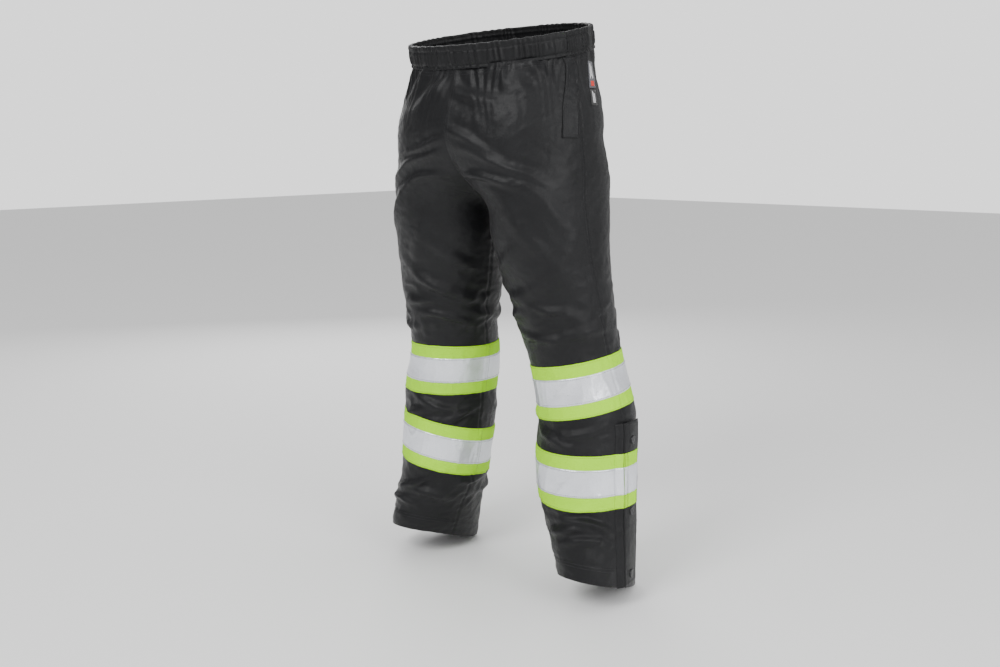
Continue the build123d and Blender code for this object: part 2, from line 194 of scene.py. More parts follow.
# -------------------- the smooth form
@dataclass(frozen=True)
class Station:
    """One level of the left leg: an ellipse round (x, y), turned outwards by toe_out degrees."""

    z: float
    x: float
    y: float
    half_width: float
    half_depth: float
    toe_out: float = 0.0

    @classmethod
    def cuff(cls, z: float, half_width: float, half_depth: float, toe_out: float) -> "Station":
        """A station of the lower leg, hung on the straight side seam that the zip follows.

        Args:
            z: height.
            half_width: half the section's width.
            half_depth: half its depth.
            toe_out: its turn in degrees.

        Returns:
            The station whose ellipse meets the seam's line at SEAM_ANGLE.
        """
        share = z / 320.0
        seam_x, seam_y = 276 - 14 * share, 23 + 9 * share
        turn = math.radians(toe_out)
        across = half_width * math.cos(SEAM_ANGLE)
        back = half_depth * math.sin(SEAM_ANGLE)
        x = seam_x - across * math.cos(turn) + back * math.sin(turn)
        y = seam_y - across * math.sin(turn) - back * math.cos(turn)
        return cls(z, x, y, half_width, half_depth, toe_out)


STATIONS = (
    Station.cuff(-45, 54, 108, 12),
    Station.cuff(60, 72, 101, 11),
    Station.cuff(130, 85, 97, 9),
    Station.cuff(230, 92, 97, 7),
    Station.cuff(320, 91, 94, 5),
    Station(400, 154, 33, 87, 91, 3),
    Station(470, 146, 17, 89, 93, 2),
    Station(550, 134, 5, 95, 102, 1),
    Station(640, 121, -8, 104, 114),
    Station(720, 108, -10, 108, 126),
    Station(765, 70, -8, 146, 138),
    Station(815, 26, -14, 188, 147),
    Station(870, 0, -18, 216, 158),
    Station(930, 0, -28, 214, 157),
    Station(985, 0, -16, 196, 142),
    Station(1085, 0, -6, 188, 134),
)


class TrouserForm:
    """The garment's smooth body. The left half is described, and the right one is its mirror image."""

    DRAWN_IN = 140.0
    TURN, CLIMB = 0.004, 2.0

    def __init__(self) -> None:
        self._knots = np.array([s.z for s in STATIONS], float)
        self._rows = np.array(
            [[s.x, s.y + FORE_AFT, s.half_width, s.half_depth, math.radians(s.toe_out)] for s in STATIONS]
        )

    def rows(self, z: np.ndarray) -> np.ndarray:
        """Centre x, centre y, half width, half depth and turn at heights."""
        return smooth_table(self._knots, self._rows, np.asarray(z, float))

    def reach(self, z: np.ndarray) -> np.ndarray:
        """The largest angle round the section: pi below the crotch, less where the halves meet."""
        rows = self.rows(z)
        return math.pi - np.arccos(np.clip(rows[..., 0] / rows[..., 2], 0.0, 1.0))

    @staticmethod
    def casing_edge(angle: np.ndarray) -> tuple[np.ndarray, np.ndarray, np.ndarray]:
        """The casing's lower edge, to which the fabric is drawn in: an ellipse tilted by the waist's slope.

        Args:
            angle: angles round the waist.

        Returns:
            x, y and z of the edge.
        """
        casing, tilt = STATIONS[-1], math.atan(WAIST_SLOPE)
        back = casing.y + casing.half_depth * np.sin(angle)
        x = casing.half_width * np.cos(angle)
        return x, back * math.cos(tilt) + FORE_AFT, WAIST_SEAM + back * math.sin(tilt)

    def point(self, angle: np.ndarray, z: np.ndarray) -> np.ndarray:
        """Points of the left half: the level's turned ellipse, blended into the casing's edge near the waist.

        Args:
            angle: angles round the leg.
            z: heights.

        Returns:
            Points in millimetres, with a last axis of three.
        """
        centre_x, centre_y, half_width, half_depth, turn = np.moveaxis(self.rows(z), -1, 0)
        across, back = half_width * np.cos(angle), half_depth * np.sin(angle)
        x = centre_x + across * np.cos(turn) - back * np.sin(turn)
        y = centre_y + across * np.sin(turn) + back * np.cos(turn)
        edge_x, edge_y, edge_z = self.casing_edge(angle)
        drawn = 1.0 - smoothstep(edge_z - z, -4.0, self.DRAWN_IN)
        x, y = x + drawn * (edge_x - x), y + drawn * (edge_y - y)
        return np.stack([x, y, np.broadcast_to(z, np.shape(x))], -1)

    def normal(self, angle: np.ndarray, z: np.ndarray) -> np.ndarray:
        """Outward normals: the cross product of small steps round the leg and up it.

        Args:
            angle: angles round the leg.
            z: heights.

        Returns:
            Unit vectors, with a last axis of three.
        """
        around = self.point(angle + self.TURN, z) - self.point(angle - self.TURN, z)
        upwards = self.point(angle, z + self.CLIMB) - self.point(angle, z - self.CLIMB)
        return unit(np.cross(around, upwards))

    def speed(self, angle: np.ndarray, z: np.ndarray) -> np.ndarray:
        """Millimetres along the surface for each radian of angle."""
        step = self.point(angle + self.TURN, z) - self.point(angle - self.TURN, z)
        return np.linalg.norm(step, axis=-1) / (2 * self.TURN)

    def angle_behind(self, distance: float, z: np.ndarray) -> np.ndarray:
        """The angle at a distance behind the side seam, along the surface, by one midpoint step.

        Args:
            distance: millimetres behind the seam; ahead of it is negative.
            z: heights.

        Returns:
            Angles, of the same shape as z.
        """
        base = np.full(np.shape(z), SEAM_ANGLE)
        middle = base + distance / 2 / self.speed(base, z)
        return base + distance / self.speed(middle, z)

    def angle_at(self, distance: float, z: float) -> float:
        """The angle at a distance behind the side seam, at one height."""
        return float(self.angle_behind(distance, np.full(1, float(z)))[0])

    def side_angle(self, y: float | np.ndarray, z: np.ndarray) -> np.ndarray:
        """The angle on the outer side where the section is y behind the garment's middle."""
        rows = self.rows(z)
        return np.arcsin(np.clip((y + FORE_AFT - rows[..., 1]) / rows[..., 3], -0.99, 0.99))


# -------------------- folds
@dataclass(frozen=True)
class Fold:
    """One soft ridge of the fabric.

    Attributes:
        at: angle round the leg in degrees, and height in millimetres, of its middle.
        lean: direction in degrees; 0 runs backwards round the leg and 90 runs up.
        length: half its length.
        width: half its width.
        height: how far it stands out; a negative height is a hollow.
        bow: how far its ends bend, in millimetres.
    """

    at: tuple[float, float]
    lean: float
    length: float
    width: float
    height: float
    bow: float = 0.0

    def raise_at(self, along: np.ndarray, z: np.ndarray) -> np.ndarray:
        """A ridge between two shallow hollows, which fades towards its ends.

        Args:
            along: distances round the unrolled leg.
            z: heights.

        Returns:
            Millimetres of displacement.
        """
        gap = along / LEG_RADIUS - math.radians(self.at[0]) + math.pi
        dx = (gap % (2 * math.pi) - math.pi) * LEG_RADIUS
        dz = z - self.at[1]
        turn = math.radians(self.lean)
        p = dx * math.cos(turn) + dz * math.sin(turn)
        q = -dx * math.sin(turn) + dz * math.cos(turn)
        q = q - self.bow * (p / self.length) ** 2
        r = q / self.width
        profile = (1.0 - 0.9 * r * r - 0.25 * r) * np.exp(-r * r * 0.9)
        return 1.3 * self.height * profile * np.exp(-((p / self.length) ** 2) * 1.6)


LEFT_FOLDS = (
    Fold((-62, 935), -62, 55, 11, 4.0, 5),
    Fold((-78, 905), -50, 60, 12, 4.5, -6),
    Fold((-40, 948), -72, 45, 10, 3.4, 3),
    Fold((-18, 940), 78, 45, 10, 2.8, 3),
    Fold((-86, 820), -30, 50, 12, 4.5, -8),
    Fold((-70, 780), -38, 75, 14, 5.0, -10),
    Fold((-92, 752), -22, 40, 10, 5.0, -6),
    Fold((-50, 715), -48, 80, 18, 4.0, -8),
    Fold((-30, 640), 62, 85, 22, 3.2, 8),
    Fold((-75, 655), -60, 70, 18, 3.2, 6),
    Fold((-110, 600), 35, 60, 14, 4.0, 6),
    Fold((-98, 545), 22, 62, 13, 4.6, 7),
    Fold((-60, 520), -18, 60, 13, 4.2, -6),
    Fold((-122, 505), 12, 50, 11, 4.8, 5),
    Fold((-40, 482), 16, 66, 12, 4.2, -6),
    Fold((-100, 466), -10, 60, 10, 3.8, 5),
    Fold((-60, 300), 14, 70, 11, 4.2, 5),
    Fold((-105, 285), -16, 55, 11, 4.6, -4),
    Fold((-78, 158), 10, 60, 10, 3.6, 6),
    Fold((-58, 132), -8, 70, 10, 5.2, -7),
    Fold((-100, 112), 12, 62, 10, 5.6, -6),
    Fold((-66, 96), 4, 72, 9, 4.8, -8),
    Fold((-30, 112), -14, 34, 9, 3.4, 4),
    Fold((60, 880), -25, 70, 18, 3.5, 8),
    Fold((95, 905), -55, 60, 16, 4.0, 5),
    Fold((80, 820), 20, 75, 16, 5.0, 9),
    Fold((100, 770), 24, 70, 14, 5.5, 8),
    Fold((70, 700), -30, 75, 18, 4.5, 8),
    Fold((90, 610), 12, 70, 16, 4.0, -6),
    Fold((85, 520), 6, 80, 12, 5.5, -8),
    Fold((100, 492), -8, 80, 11, 5.5, 8),
    Fold((70, 466), 8, 70, 10, 4.5, -6),
    Fold((95, 300), -6, 75, 12, 4.6, 7),
    Fold((85, 130), 8, 75, 11, 5.0, 8),
    Fold((120, 100), -10, 65, 10, 5.0, -6),
    Fold((60, 92), -5, 55, 9, 4.0, 6),
    Fold((165, 690), -70, 60, 14, 4.0, 4),
    Fold((-165, 560), -14, 60, 13, 4.5, 5),
    Fold((170, 480), 10, 60, 12, 4.5, -5),
    Fold((-150, 310), 8, 60, 12, 4.0, 5),
    Fold((175, 120), -6, 60, 10, 4.6, -5),
)

RIGHT_FOLDS = (
    Fold((-66, 940), -66, 52, 11, 3.8, -5),
    Fold((-82, 900), -48, 58, 12, 4.2, 6),
    Fold((-44, 930), -74, 50, 11, 3.6, -3),
    Fold((-88, 815), -26, 55, 12, 4.8, -8),
    Fold((-72, 772), -34, 80, 14, 5.2, -10),
    Fold((-95, 742), -20, 40, 10, 5.0, -6),
    Fold((-60, 690), -52, 85, 19, 4.0, 8),
    Fold((-100, 640), -72, 70, 18, 3.5, -6),
    Fold((-135, 600), 30, 60, 14, 4.6, 6),
    Fold((-112, 548), 24, 66, 13, 5.2, 8),
    Fold((-150, 520), 14, 58, 12, 5.6, 6),
    Fold((-88, 508), -14, 62, 13, 4.4, -6),
    Fold((-128, 480), 8, 62, 11, 5.2, -6),
    Fold((-70, 458), 12, 60, 10, 3.8, 5),
    Fold((-120, 290), 18, 70, 12, 4.8, 6),
    Fold((-85, 275), -12, 60, 11, 4.2, -5),
    Fold((-150, 268), -16, 50, 11, 4.4, 5),
    Fold((-95, 128), -16, 70, 11, 5.2, 7),
    Fold((-130, 112), 10, 60, 10, 5.2, -6),
    Fold((-80, 92), 6, 65, 9, 4.6, -7),
    Fold((60, 885), -28, 70, 18, 3.5, 8),
    Fold((95, 900), -58, 60, 16, 4.0, -5),
    Fold((82, 815), 18, 75, 16, 5.0, 9),
    Fold((104, 768), 22, 70, 14, 5.5, 8),
    Fold((74, 690), -34, 75, 18, 4.5, -8),
    Fold((88, 520), 8, 80, 12, 5.5, 8),
    Fold((104, 490), -6, 80, 11, 5.5, -8),
    Fold((92, 300), -8, 75, 12, 4.6, -7),
    Fold((88, 124), 6, 75, 11, 5.0, 8),
    Fold((124, 98), -8, 65, 10, 5.0, 6),
    Fold((165, 680), -66, 60, 14, 4.0, -4),
    Fold((170, 480), 8, 60, 12, 4.5, 5),
    Fold((178, 130), 6, 60, 10, 4.6, 5),
)


class FoldField:
    """How far the fabric of one half stands off its smooth form, everywhere on it.

    The displacement is the sum of the placed folds, of noise at four scales, of the gathers below the
    casing and of the grooves and puckers along the seams and the hem. Bands, zip and flap flatten it.

    Attributes:
        WANDER: how far noise shifts the placed folds, so that none of them is straight.
        HELD_FLAT: share of the folds that the bands take away.
        GATHER_FADE: distance below the casing over which the gathers die away.
        PLEAT, NARROW: heights of the wide and the narrow gathers.
    """

    WANDER, HELD_FLAT = 5.0, 0.35
    GATHER_FADE, NARROW_FADE = 38.0, 14.0
    PLEAT, NARROW, FULLNESS = 2.3, 0.8, 1.5

    def __init__(self, side: Side, form: TrouserForm) -> None:
        shift = 0 if side is Side.LEFT else 50
        self.side, self.form = side, form
        self.folds = LEFT_FOLDS if side is Side.LEFT else RIGHT_FOLDS
        self.broad = WaveNoise(11 + shift, 150, (1.0, 1.0, 1.3))
        self.slack = WaveNoise(12 + shift, 62, (1.5, 1.5, 0.8))
        self.crumple = WaveNoise(13 + shift, 30, (1.4, 1.4, 1.0), 18)
        self.fine = WaveNoise(14 + shift, 13, (1.0, 1.0, 1.0), 20)
        self.gather_phase = WaveNoise(15 + shift, 55, (1.0, 1.0, 5.0), 10)
        self.warp = WaveNoise(16 + shift, 90, (1.0, 1.0, 1.0), 8)

    def __call__(self, angle: np.ndarray, z: np.ndarray) -> np.ndarray:
        """Displacement along the smooth form's normal.

        Args:
            angle: angles round the leg; whole turns make no difference.
            z: heights.

        Returns:
            Millimetres, outwards positive.
        """
        angle = (angle + math.pi) % (2 * math.pi) - math.pi
        points, speed = self.form.point(angle, z), self.form.speed(angle, z)
        held = self.under_bands(points)
        total = self.placed(angle, z, points) + self.crumpled(points, z, held)
        total *= 1 - self.HELD_FLAT * held
        total += self.gathers(angle * speed, points, np.maximum(self.form.casing_edge(angle)[2] - z, 0))
        total += self.seam_pucker(points, (angle - SEAM_ANGLE) * speed, z)
        reach = self.form.reach(z)
        edge = np.minimum(np.abs(angle + reach), np.abs(angle - reach)) * speed
        total += self.seam_pucker(points, edge, z)
        hem = z - HEM_HEIGHT - HEM_SLOPE * (points[..., 1] - FORE_AFT)
        total += 0.8 * bell(hem, 18, 16) - 0.9 * bell(hem, HEM_DEPTH, 2.2)
        total *= 1.0 - 0.7 * self.stiffened(angle, z)
        meeting = smoothstep(z, CREASE_HEIGHT - 40, CREASE_HEIGHT + 10)
        return total * (1.0 - meeting * bell(edge, 0, 16.0))

    def placed(self, angle: np.ndarray, z: np.ndarray, points: np.ndarray) -> np.ndarray:
        """The sum of the placed folds, each shifted a little by noise."""
        wave = self.WANDER * self.warp(points)
        return sum(fold.raise_at(angle * LEG_RADIUS + wave * 0.6, z + wave) for fold in self.folds)

    def crumpled(self, points: np.ndarray, z: np.ndarray, held: np.ndarray) -> np.ndarray:
        """Noise of four sizes, strongest where the cloth is slack: above the hem and behind the knee.

        Args:
            points: points of the smooth form.
            z: their heights.
            held: 1 where a band holds the fabric.

        Returns:
            Millimetres of displacement.
        """
        wave = self.WANDER * self.warp(points)
        loose = 0.35 + 0.65 * (bell(z, 500, 70) + bell(z, 110, 70) + 0.6 * bell(z, 300, 60))
        shin = 1 - smoothstep(z, 560, 620)
        ridged = 1.0 - np.abs(self.crumple(points + wave[..., None] * 1.5)) * 2
        large = 1.6 * self.broad(points) + 1.9 * loose * self.slack(points) * (0.5 + 0.5 * shin)
        return large + (0.75 * loose * ridged + 0.16 * self.fine(points)) * (1 - 0.7 * held)

    def gathers(self, along: np.ndarray, points: np.ndarray, below: np.ndarray) -> np.ndarray:
        """Wide and narrow pleats of wandering phase that fade below the casing, and the groove under it.

        Args:
            along: millimetres round the waist.
            points: points of the smooth form.
            below: distances below the casing, 0 above it.

        Returns:
            Millimetres of displacement.
        """
        pleat = np.sin(along / 3.9 + 3.4 * self.gather_phase(points))
        narrow = np.sin(along / 1.9 + 4.0 * self.gather_phase(points * 1.7))
        free = 1.0 - 0.55 * bell(below, 0, 9.0)
        full = self.PLEAT * pleat + self.NARROW * narrow * np.exp(-below / self.NARROW_FADE) + self.FULLNESS
        return np.exp(-below / self.GATHER_FADE) * free * full - 1.6 * bell(below, 0, 5.0)

    def seam_pucker(self, points: np.ndarray, gap: np.ndarray, z: np.ndarray) -> np.ndarray:
        """A sewn seam: a narrow groove between two low ridges, with ripples that fade to both sides.

        Args:
            points: points of the smooth form.
            gap: their distances to the seam.
            z: their heights.

        Returns:
            Millimetres of displacement.
        """
        ripple = np.sin(z * 0.42 + 2.2 * self.slack(points)) * np.exp(-np.abs(gap) / 9.0)
        return 0.55 * ripple - 1.1 * bell(gap, 0, 1.6) + 0.5 * bell(np.abs(gap), 5, 4)

    def under_bands(self, points: np.ndarray) -> np.ndarray:
        """Where the bands hold the fabric, from the distance to the sloping plane of each one.

        Args:
            points: points of the smooth form.

        Returns:
            1 below a band, 0 away from the bands.
        """
        held = np.zeros(points.shape[:-1])
        for spec in BANDS[self.side]:
            away = np.abs(points[..., 2] - spec.middle(self.form, points))
            held += 1 - smoothstep(away, BAND_WIDTH / 2 - 5, BAND_WIDTH / 2 + 1)
        return np.clip(held, 0, 1)

    def stiffened(self, angle: np.ndarray, z: np.ndarray) -> np.ndarray:
        """Where the zip and its flap hold the fabric flat.

        Args:
            angle: angles round the leg.
            z: heights.

        Returns:
            1 at the zip, 0 away from it.
        """
        behind = (angle - SEAM_ANGLE) * self.form.speed(angle, z)
        across = smoothstep(behind, -42, -24) * (1 - smoothstep(behind, 40, 62))
        return across * (1 - smoothstep(z, 312, 350))


# -------------------- the garment's surface
class HalfGarment:
    """One side of the garment: the smooth form with its folds, mirrored for the right side."""

    CROSSING = -60.0

    def __init__(self, side: Side, form: TrouserForm) -> None:
        self.side, self.form, self.folds = side, form, FoldField(side, form)

    def surface(self, angle: np.ndarray, z: np.ndarray, lift: float | np.ndarray = 0.0) -> np.ndarray:
        """Points of the fabric's outside: the smooth form plus its normal times folds and lift.

        Above the crease no point may pass the middle, where the halves are sewn together.

        Args:
            angle: angles round the leg in radians.
            z: heights, of the same shape.
            lift: distance off the fabric, outwards positive.

        Returns:
            Points with a last axis of three, mirrored on the right side.
        """
        angle, z = np.broadcast_arrays(np.asarray(angle, float), np.asarray(z, float))
        base, normal = self.form.point(angle, z), self.form.normal(angle, z)
        points = base + normal * (self.folds(angle, z) + lift)[..., None]
        upper = smoothstep(z, CREASE_HEIGHT - 30, CREASE_HEIGHT)
        points[..., 0] = np.maximum(points[..., 0], self.CROSSING * (1 - upper))
        return points * np.array([self.side.value, 1.0, 1.0])

    def row_height(self, angle: np.ndarray, level: np.ndarray) -> np.ndarray:
        """Heights of a row of the weave, which tilts with the hem near one end and the waist near the other.

        Args:
            angle: angles round the leg.
            level: the rows' heights at the garment's middle.

        Returns:
            Heights, of angle's shape.
        """
        hem_y = self.form.point(angle, np.full(np.shape(angle), HEM_HEIGHT))[..., 1] - FORE_AFT
        low = (1 - smoothstep(level, HEM_HEIGHT, HEM_HEIGHT + 170)) * HEM_SLOPE * hem_y
        tilt = self.form.casing_edge(angle)[2] - WAIST_SEAM
        return level + low + smoothstep(level, WAIST_SEAM - 170, WAIST_SEAM) * tilt


# -------------------- meshes
@dataclass
class Grid:
    """A sheet of points in rows and columns that becomes part of a mesh.

    Attributes:
        points: array of rows x columns x 3, in millimetres.
        flip: turns the faces over.
        closed: joins the last column to the first one.
        keep: optional mask of the cells to keep.
    """

    points: np.ndarray
    flip: bool = False
    closed: bool = False
    keep: np.ndarray | None = None

    def faces(self, offset: int) -> np.ndarray:
        """Quads over the grid's cells.

        Args:
            offset: the number of the grid's first point.

        Returns:
            Vertex numbers, quads x 4.
        """
        rows, columns = self.points.shape[:2]
        index = np.arange(rows * columns).reshape(rows, columns) + offset
        if self.closed:
            index = np.concatenate([index, index[:, :1]], 1)
        quads = np.stack([index[:-1, :-1], index[:-1, 1:], index[1:, 1:], index[1:, :-1]], -1)
        if self.keep is not None:
            quads = quads[self.keep]
        quads = quads.reshape(-1, 4)
        return quads[:, ::-1] if self.flip else quads


class MeshMaker:
    """Turns grids into Blender objects in the shared frame."""

    @staticmethod
    def build(
        name: str, grids: list[Grid], material: bpy.types.Material, merge: float = MERGE
    ) -> bpy.types.Object:
        """Makes one object from several grids.

        Args:
            name: the object's name.
            grids: the sheets that make it up.
            material: its finish.
            merge: distance in millimetres within which points become one.

        Returns:
            The new object, linked to the scene, with a UV map in metres of cloth.
        """
        points, faces, uvs, offset = [], [], [], 0
        for grid in grids:
            flat = grid.points.reshape(-1, 3)
            points.append(flat)
            faces.append(grid.faces(offset))
            uvs.append(MeshMaker.cloth_uv(grid.points).reshape(-1, 2))
            offset += len(flat)
        vertices = (np.concatenate(points) + (0.0, 0.0, GROUND)) * MM
        quads = np.concatenate(faces)
        cloth = np.concatenate(uvs) * MM
        mesh = bpy.data.meshes.new(name)
        mesh.vertices.add(len(vertices))
        mesh.vertices.foreach_set("co", vertices.astype(np.float32).ravel())
        mesh.loops.add(quads.size)
        mesh.loops.foreach_set("vertex_index", quads.ravel().astype(np.int32))
        mesh.polygons.add(len(quads))
        mesh.polygons.foreach_set("loop_start", np.arange(0, quads.size, 4, dtype=np.int32))
        mesh.polygons.foreach_set("loop_total", np.full(len(quads), 4, np.int32))
        layer = mesh.uv_layers.new(name="cloth")
        layer.data.foreach_set("uv", cloth[quads.ravel()].astype(np.float32).ravel())
        mesh.update()
        mesh.validate()
        if merge > 0:
            MeshMaker.weld(mesh, merge * MM)
        mesh.shade_smooth()
        mesh.materials.append(material)
        obj = bpy.data.objects.new(name, mesh)
        bpy.context.scene.collection.objects.link(obj)
        return obj

    @staticmethod
    def weld(mesh: bpy.types.Mesh, distance: float) -> None:
        """Joins points that lie together and removes points without faces.

        Args:
            mesh: the mesh to change.
            distance: how near points have to be, in metres.
        """
        work = bmesh.new()
        work.from_mesh(mesh)
        bmesh.ops.remove_doubles(work, verts=work.verts, dist=distance)
        loose = [v for v in work.verts if not v.link_faces]
        bmesh.ops.delete(work, geom=loose, context="VERTS")
        work.to_mesh(mesh)
        work.free()

    @staticmethod
    def cloth_uv(points: np.ndarray) -> np.ndarray:
        """Distances gone along the rows and columns of a grid, as cloth coordinates.

        Args:
            points: rows x columns x 3.

        Returns:
            Rows x columns x 2.
        """
        across = np.zeros(points.shape[:2])
        across[:, 1:] = np.cumsum(np.linalg.norm(np.diff(points, axis=1), axis=-1), 1)
        upwards = np.zeros(points.shape[:2])
        upwards[1:] = np.cumsum(np.linalg.norm(np.diff(points, axis=0), axis=-1), 0)
        return np.stack([across, upwards], -1)


def skirted(top: np.ndarray, bottom: np.ndarray, closed: bool = False) -> list[Grid]:
    """A thin slab: its top sheet and the walls from its edges down to those of its bottom sheet.

    Args:
        top: the outside points, rows x columns x 3.
        bottom: the points below them.
        closed: whether the columns run all the way round.

    Returns:
        Grids for the outside and for each open edge.
    """
    grids = [Grid(top, closed=closed)]
    grids.append(Grid(np.stack([bottom[0], top[0]]), closed=closed))
    grids.append(Grid(np.stack([top[-1], bottom[-1]]), closed=closed))
    if not closed:
        grids.append(Grid(np.stack([bottom[:, 0], top[:, 0]], 1)))
        grids.append(Grid(np.stack([top[:, -1], bottom[:, -1]], 1)))
    return grids


def mirrored(grids: list[Grid], side: Side) -> list[Grid]:
    """The same grids, with their faces turned over on the right side, where mirroring turned them round."""
    for grid in grids:
        grid.flip = grid.flip != (side is Side.RIGHT)
    return grids


# -------------------- materials
class Nodes:
    """Small helper to build shader node trees."""

    def __init__(self, tree: bpy.types.NodeTree) -> None:
        self.tree = tree

    def add(self, kind: str, **settings: object) -> bpy.types.Node:
        """A new node.

        Args:
            kind: its type.
            settings: its properties, and the values of its inputs under names that start with in_.

        Returns:
            The node.
        """
        node = self.tree.nodes.new(kind)
        for name, value in settings.items():
            if name.startswith("in_"):
                node.inputs[name[3:].replace("_", " ")].default_value = value
            else:
                setattr(node, name, value)
        return node

    def link(self, source: bpy.types.NodeSocket, target: bpy.types.NodeSocket) -> None:
        """Joins two sockets."""
        self.tree.links.new(source, target)

    def maths(self, operation: str, first: object, second: object = None) -> bpy.types.NodeSocket:
        """A maths node.

        Args:
            operation: what it works out.
            first: its first input, a socket or a number.
            second: its second input, if it has one.

        Returns:
            Its output.
        """
        node = self.add("ShaderNodeMath", operation=operation)
        for index, value in enumerate((first, second)):
            if isinstance(value, bpy.types.NodeSocket):
                self.link(value, node.inputs[index])
            elif value is not None:
                node.inputs[index].default_value = value
        return node.outputs[0]

    def mix(self, factor: object, first: object, second: object) -> bpy.types.NodeSocket:
        """A node that mixes two colours.

        Args:
            factor: the second colour's share, a socket or a number.
            first: the first colour, a socket or a value.
            second: the second colour, a socket or a value.

        Returns:
            The mixed colour.
        """
        node = self.add("ShaderNodeMix", data_type="RGBA")
        for socket, value in ((node.inputs[0], factor), (node.inputs[6], first), (node.inputs[7], second)):
            if isinstance(value, bpy.types.NodeSocket):
                self.link(value, socket)
            else:
                socket.default_value = value
        return node.outputs[2]

    def ranged(
        self, value: bpy.types.NodeSocket, low: float, high: float, top: float
    ) -> bpy.types.NodeSocket:
        """A value stretched to another range and held within it.

        Args:
            value: the value.
            low: what becomes 0.
            high: what becomes top.
            top: the new range's end.

        Returns:
            The stretched value.
        """
        node = self.add("ShaderNodeMapRange", in_From_Min=low, in_From_Max=high, in_To_Min=0.0, in_To_Max=top)
        self.link(value, node.inputs["Value"])
        return node.outputs[0]


@dataclass(frozen=True)
class ClothFinish:
    """What one woven material looks like.

    Attributes:
        name: the material's name.
        colour: the thread's colour, linear RGB.
        shade: the colour of worn or dusty places.
        roughness: micro roughness.
        sheen: strength of the fuzz at grazing angles.
        pitch: distance between twill lines in metres.
        relief: bump strength of the weave.
        glow: emission strength, a painted glow that stands in for the fluorescent dye's extra brightness
            under light.
        metallic: share of metal, for coated tape.
    """

    name: str
    colour: tuple[float, float, float]
    shade: tuple[float, float, float]
    roughness: float
    sheen: float
    pitch: float
    relief: float
    glow: float = 0.0
    metallic: float = 0.0


@dataclass(frozen=True)
class HardFinish:
    """What one painted, plated or moulded material looks like.

    Attributes:
        name: the material's name.
        colour: its colour, linear RGB.
        roughness: micro roughness.
        metallic: share of metal.
    """

    name: str
    colour: tuple[float, float, float]
    roughness: float
    metallic: float


SHELL = ClothFinish(
    "shell_fabric", (0.0042, 0.0043, 0.0050), (0.0095, 0.0097, 0.0108), 0.42, 0.03, 0.0011, 0.35
)
CASING = ClothFinish(
    "casing_fabric", (0.0040, 0.0041, 0.0047), (0.0090, 0.0092, 0.0102), 0.42, 0.03, 0.0011, 0.4
)
LINING = ClothFinish(
    "lining_fabric", (0.0036, 0.0037, 0.0041), (0.0075, 0.0077, 0.0083), 0.36, 0.03, 0.0006, 0.2
)
THREAD = ClothFinish("thread_dark", (0.016, 0.016, 0.018), (0.026, 0.026, 0.028), 0.42, 0.08, 0.0004, 0.3)
TAPE_THREAD = ClothFinish("thread_bright", (0.24, 0.42, 0.01), (0.20, 0.36, 0.01), 0.6, 0.1, 0.0004, 0.3)
STRIP_THREAD = ClothFinish("thread_grey", (0.15, 0.16, 0.17), (0.11, 0.12, 0.13), 0.55, 0.05, 0.0004, 0.3)
ZIP_TAPE = ClothFinish("zip_tape", (0.010, 0.010, 0.011), (0.02, 0.02, 0.02), 0.7, 0.2, 0.0009, 0.5)
# the last number is a painted glow: emission that brightens the fluorescent tape, which is no lamp
HIVIS = ClothFinish("hivis_tape", (0.40, 0.82, 0.0), (0.31, 0.70, 0.0), 0.74, 0.0, 0.0009, 0.3, 0.07)
SILVER = ClothFinish(
    "reflective_tape", (0.84, 0.86, 0.91), (0.62, 0.64, 0.69), 0.30, 0.0, 0.0007, 0.15, 0.0, 0.55
)
LABEL_GREY = ClothFinish("label_grey", (0.11, 0.11, 0.12), (0.08, 0.08, 0.09), 0.7, 0.2, 0.0005, 0.3)
LABEL_DARK = ClothFinish("label_dark", (0.02, 0.02, 0.02), (0.04, 0.04, 0.04), 0.7, 0.2, 0.0005, 0.3)

ZIP_COIL = HardFinish("zip_coil", (0.012, 0.012, 0.013), 0.35, 0.0)
ZIP_METAL = HardFinish("zip_metal", (0.02, 0.02, 0.021), 0.3, 0.6)
SNAP_CAP = HardFinish("snap_cap", (0.022, 0.022, 0.024), 0.22, 0.3)
SNAP_METAL = HardFinish("snap_metal", (0.35, 0.35, 0.36), 0.25, 1.0)
PRINT_LIGHT = HardFinish("label_print_light", (0.55, 0.55, 0.56), 0.6, 0.0)
PRINT_RED = HardFinish("label_print_red", (0.55, 0.03, 0.02), 0.6, 0.0)


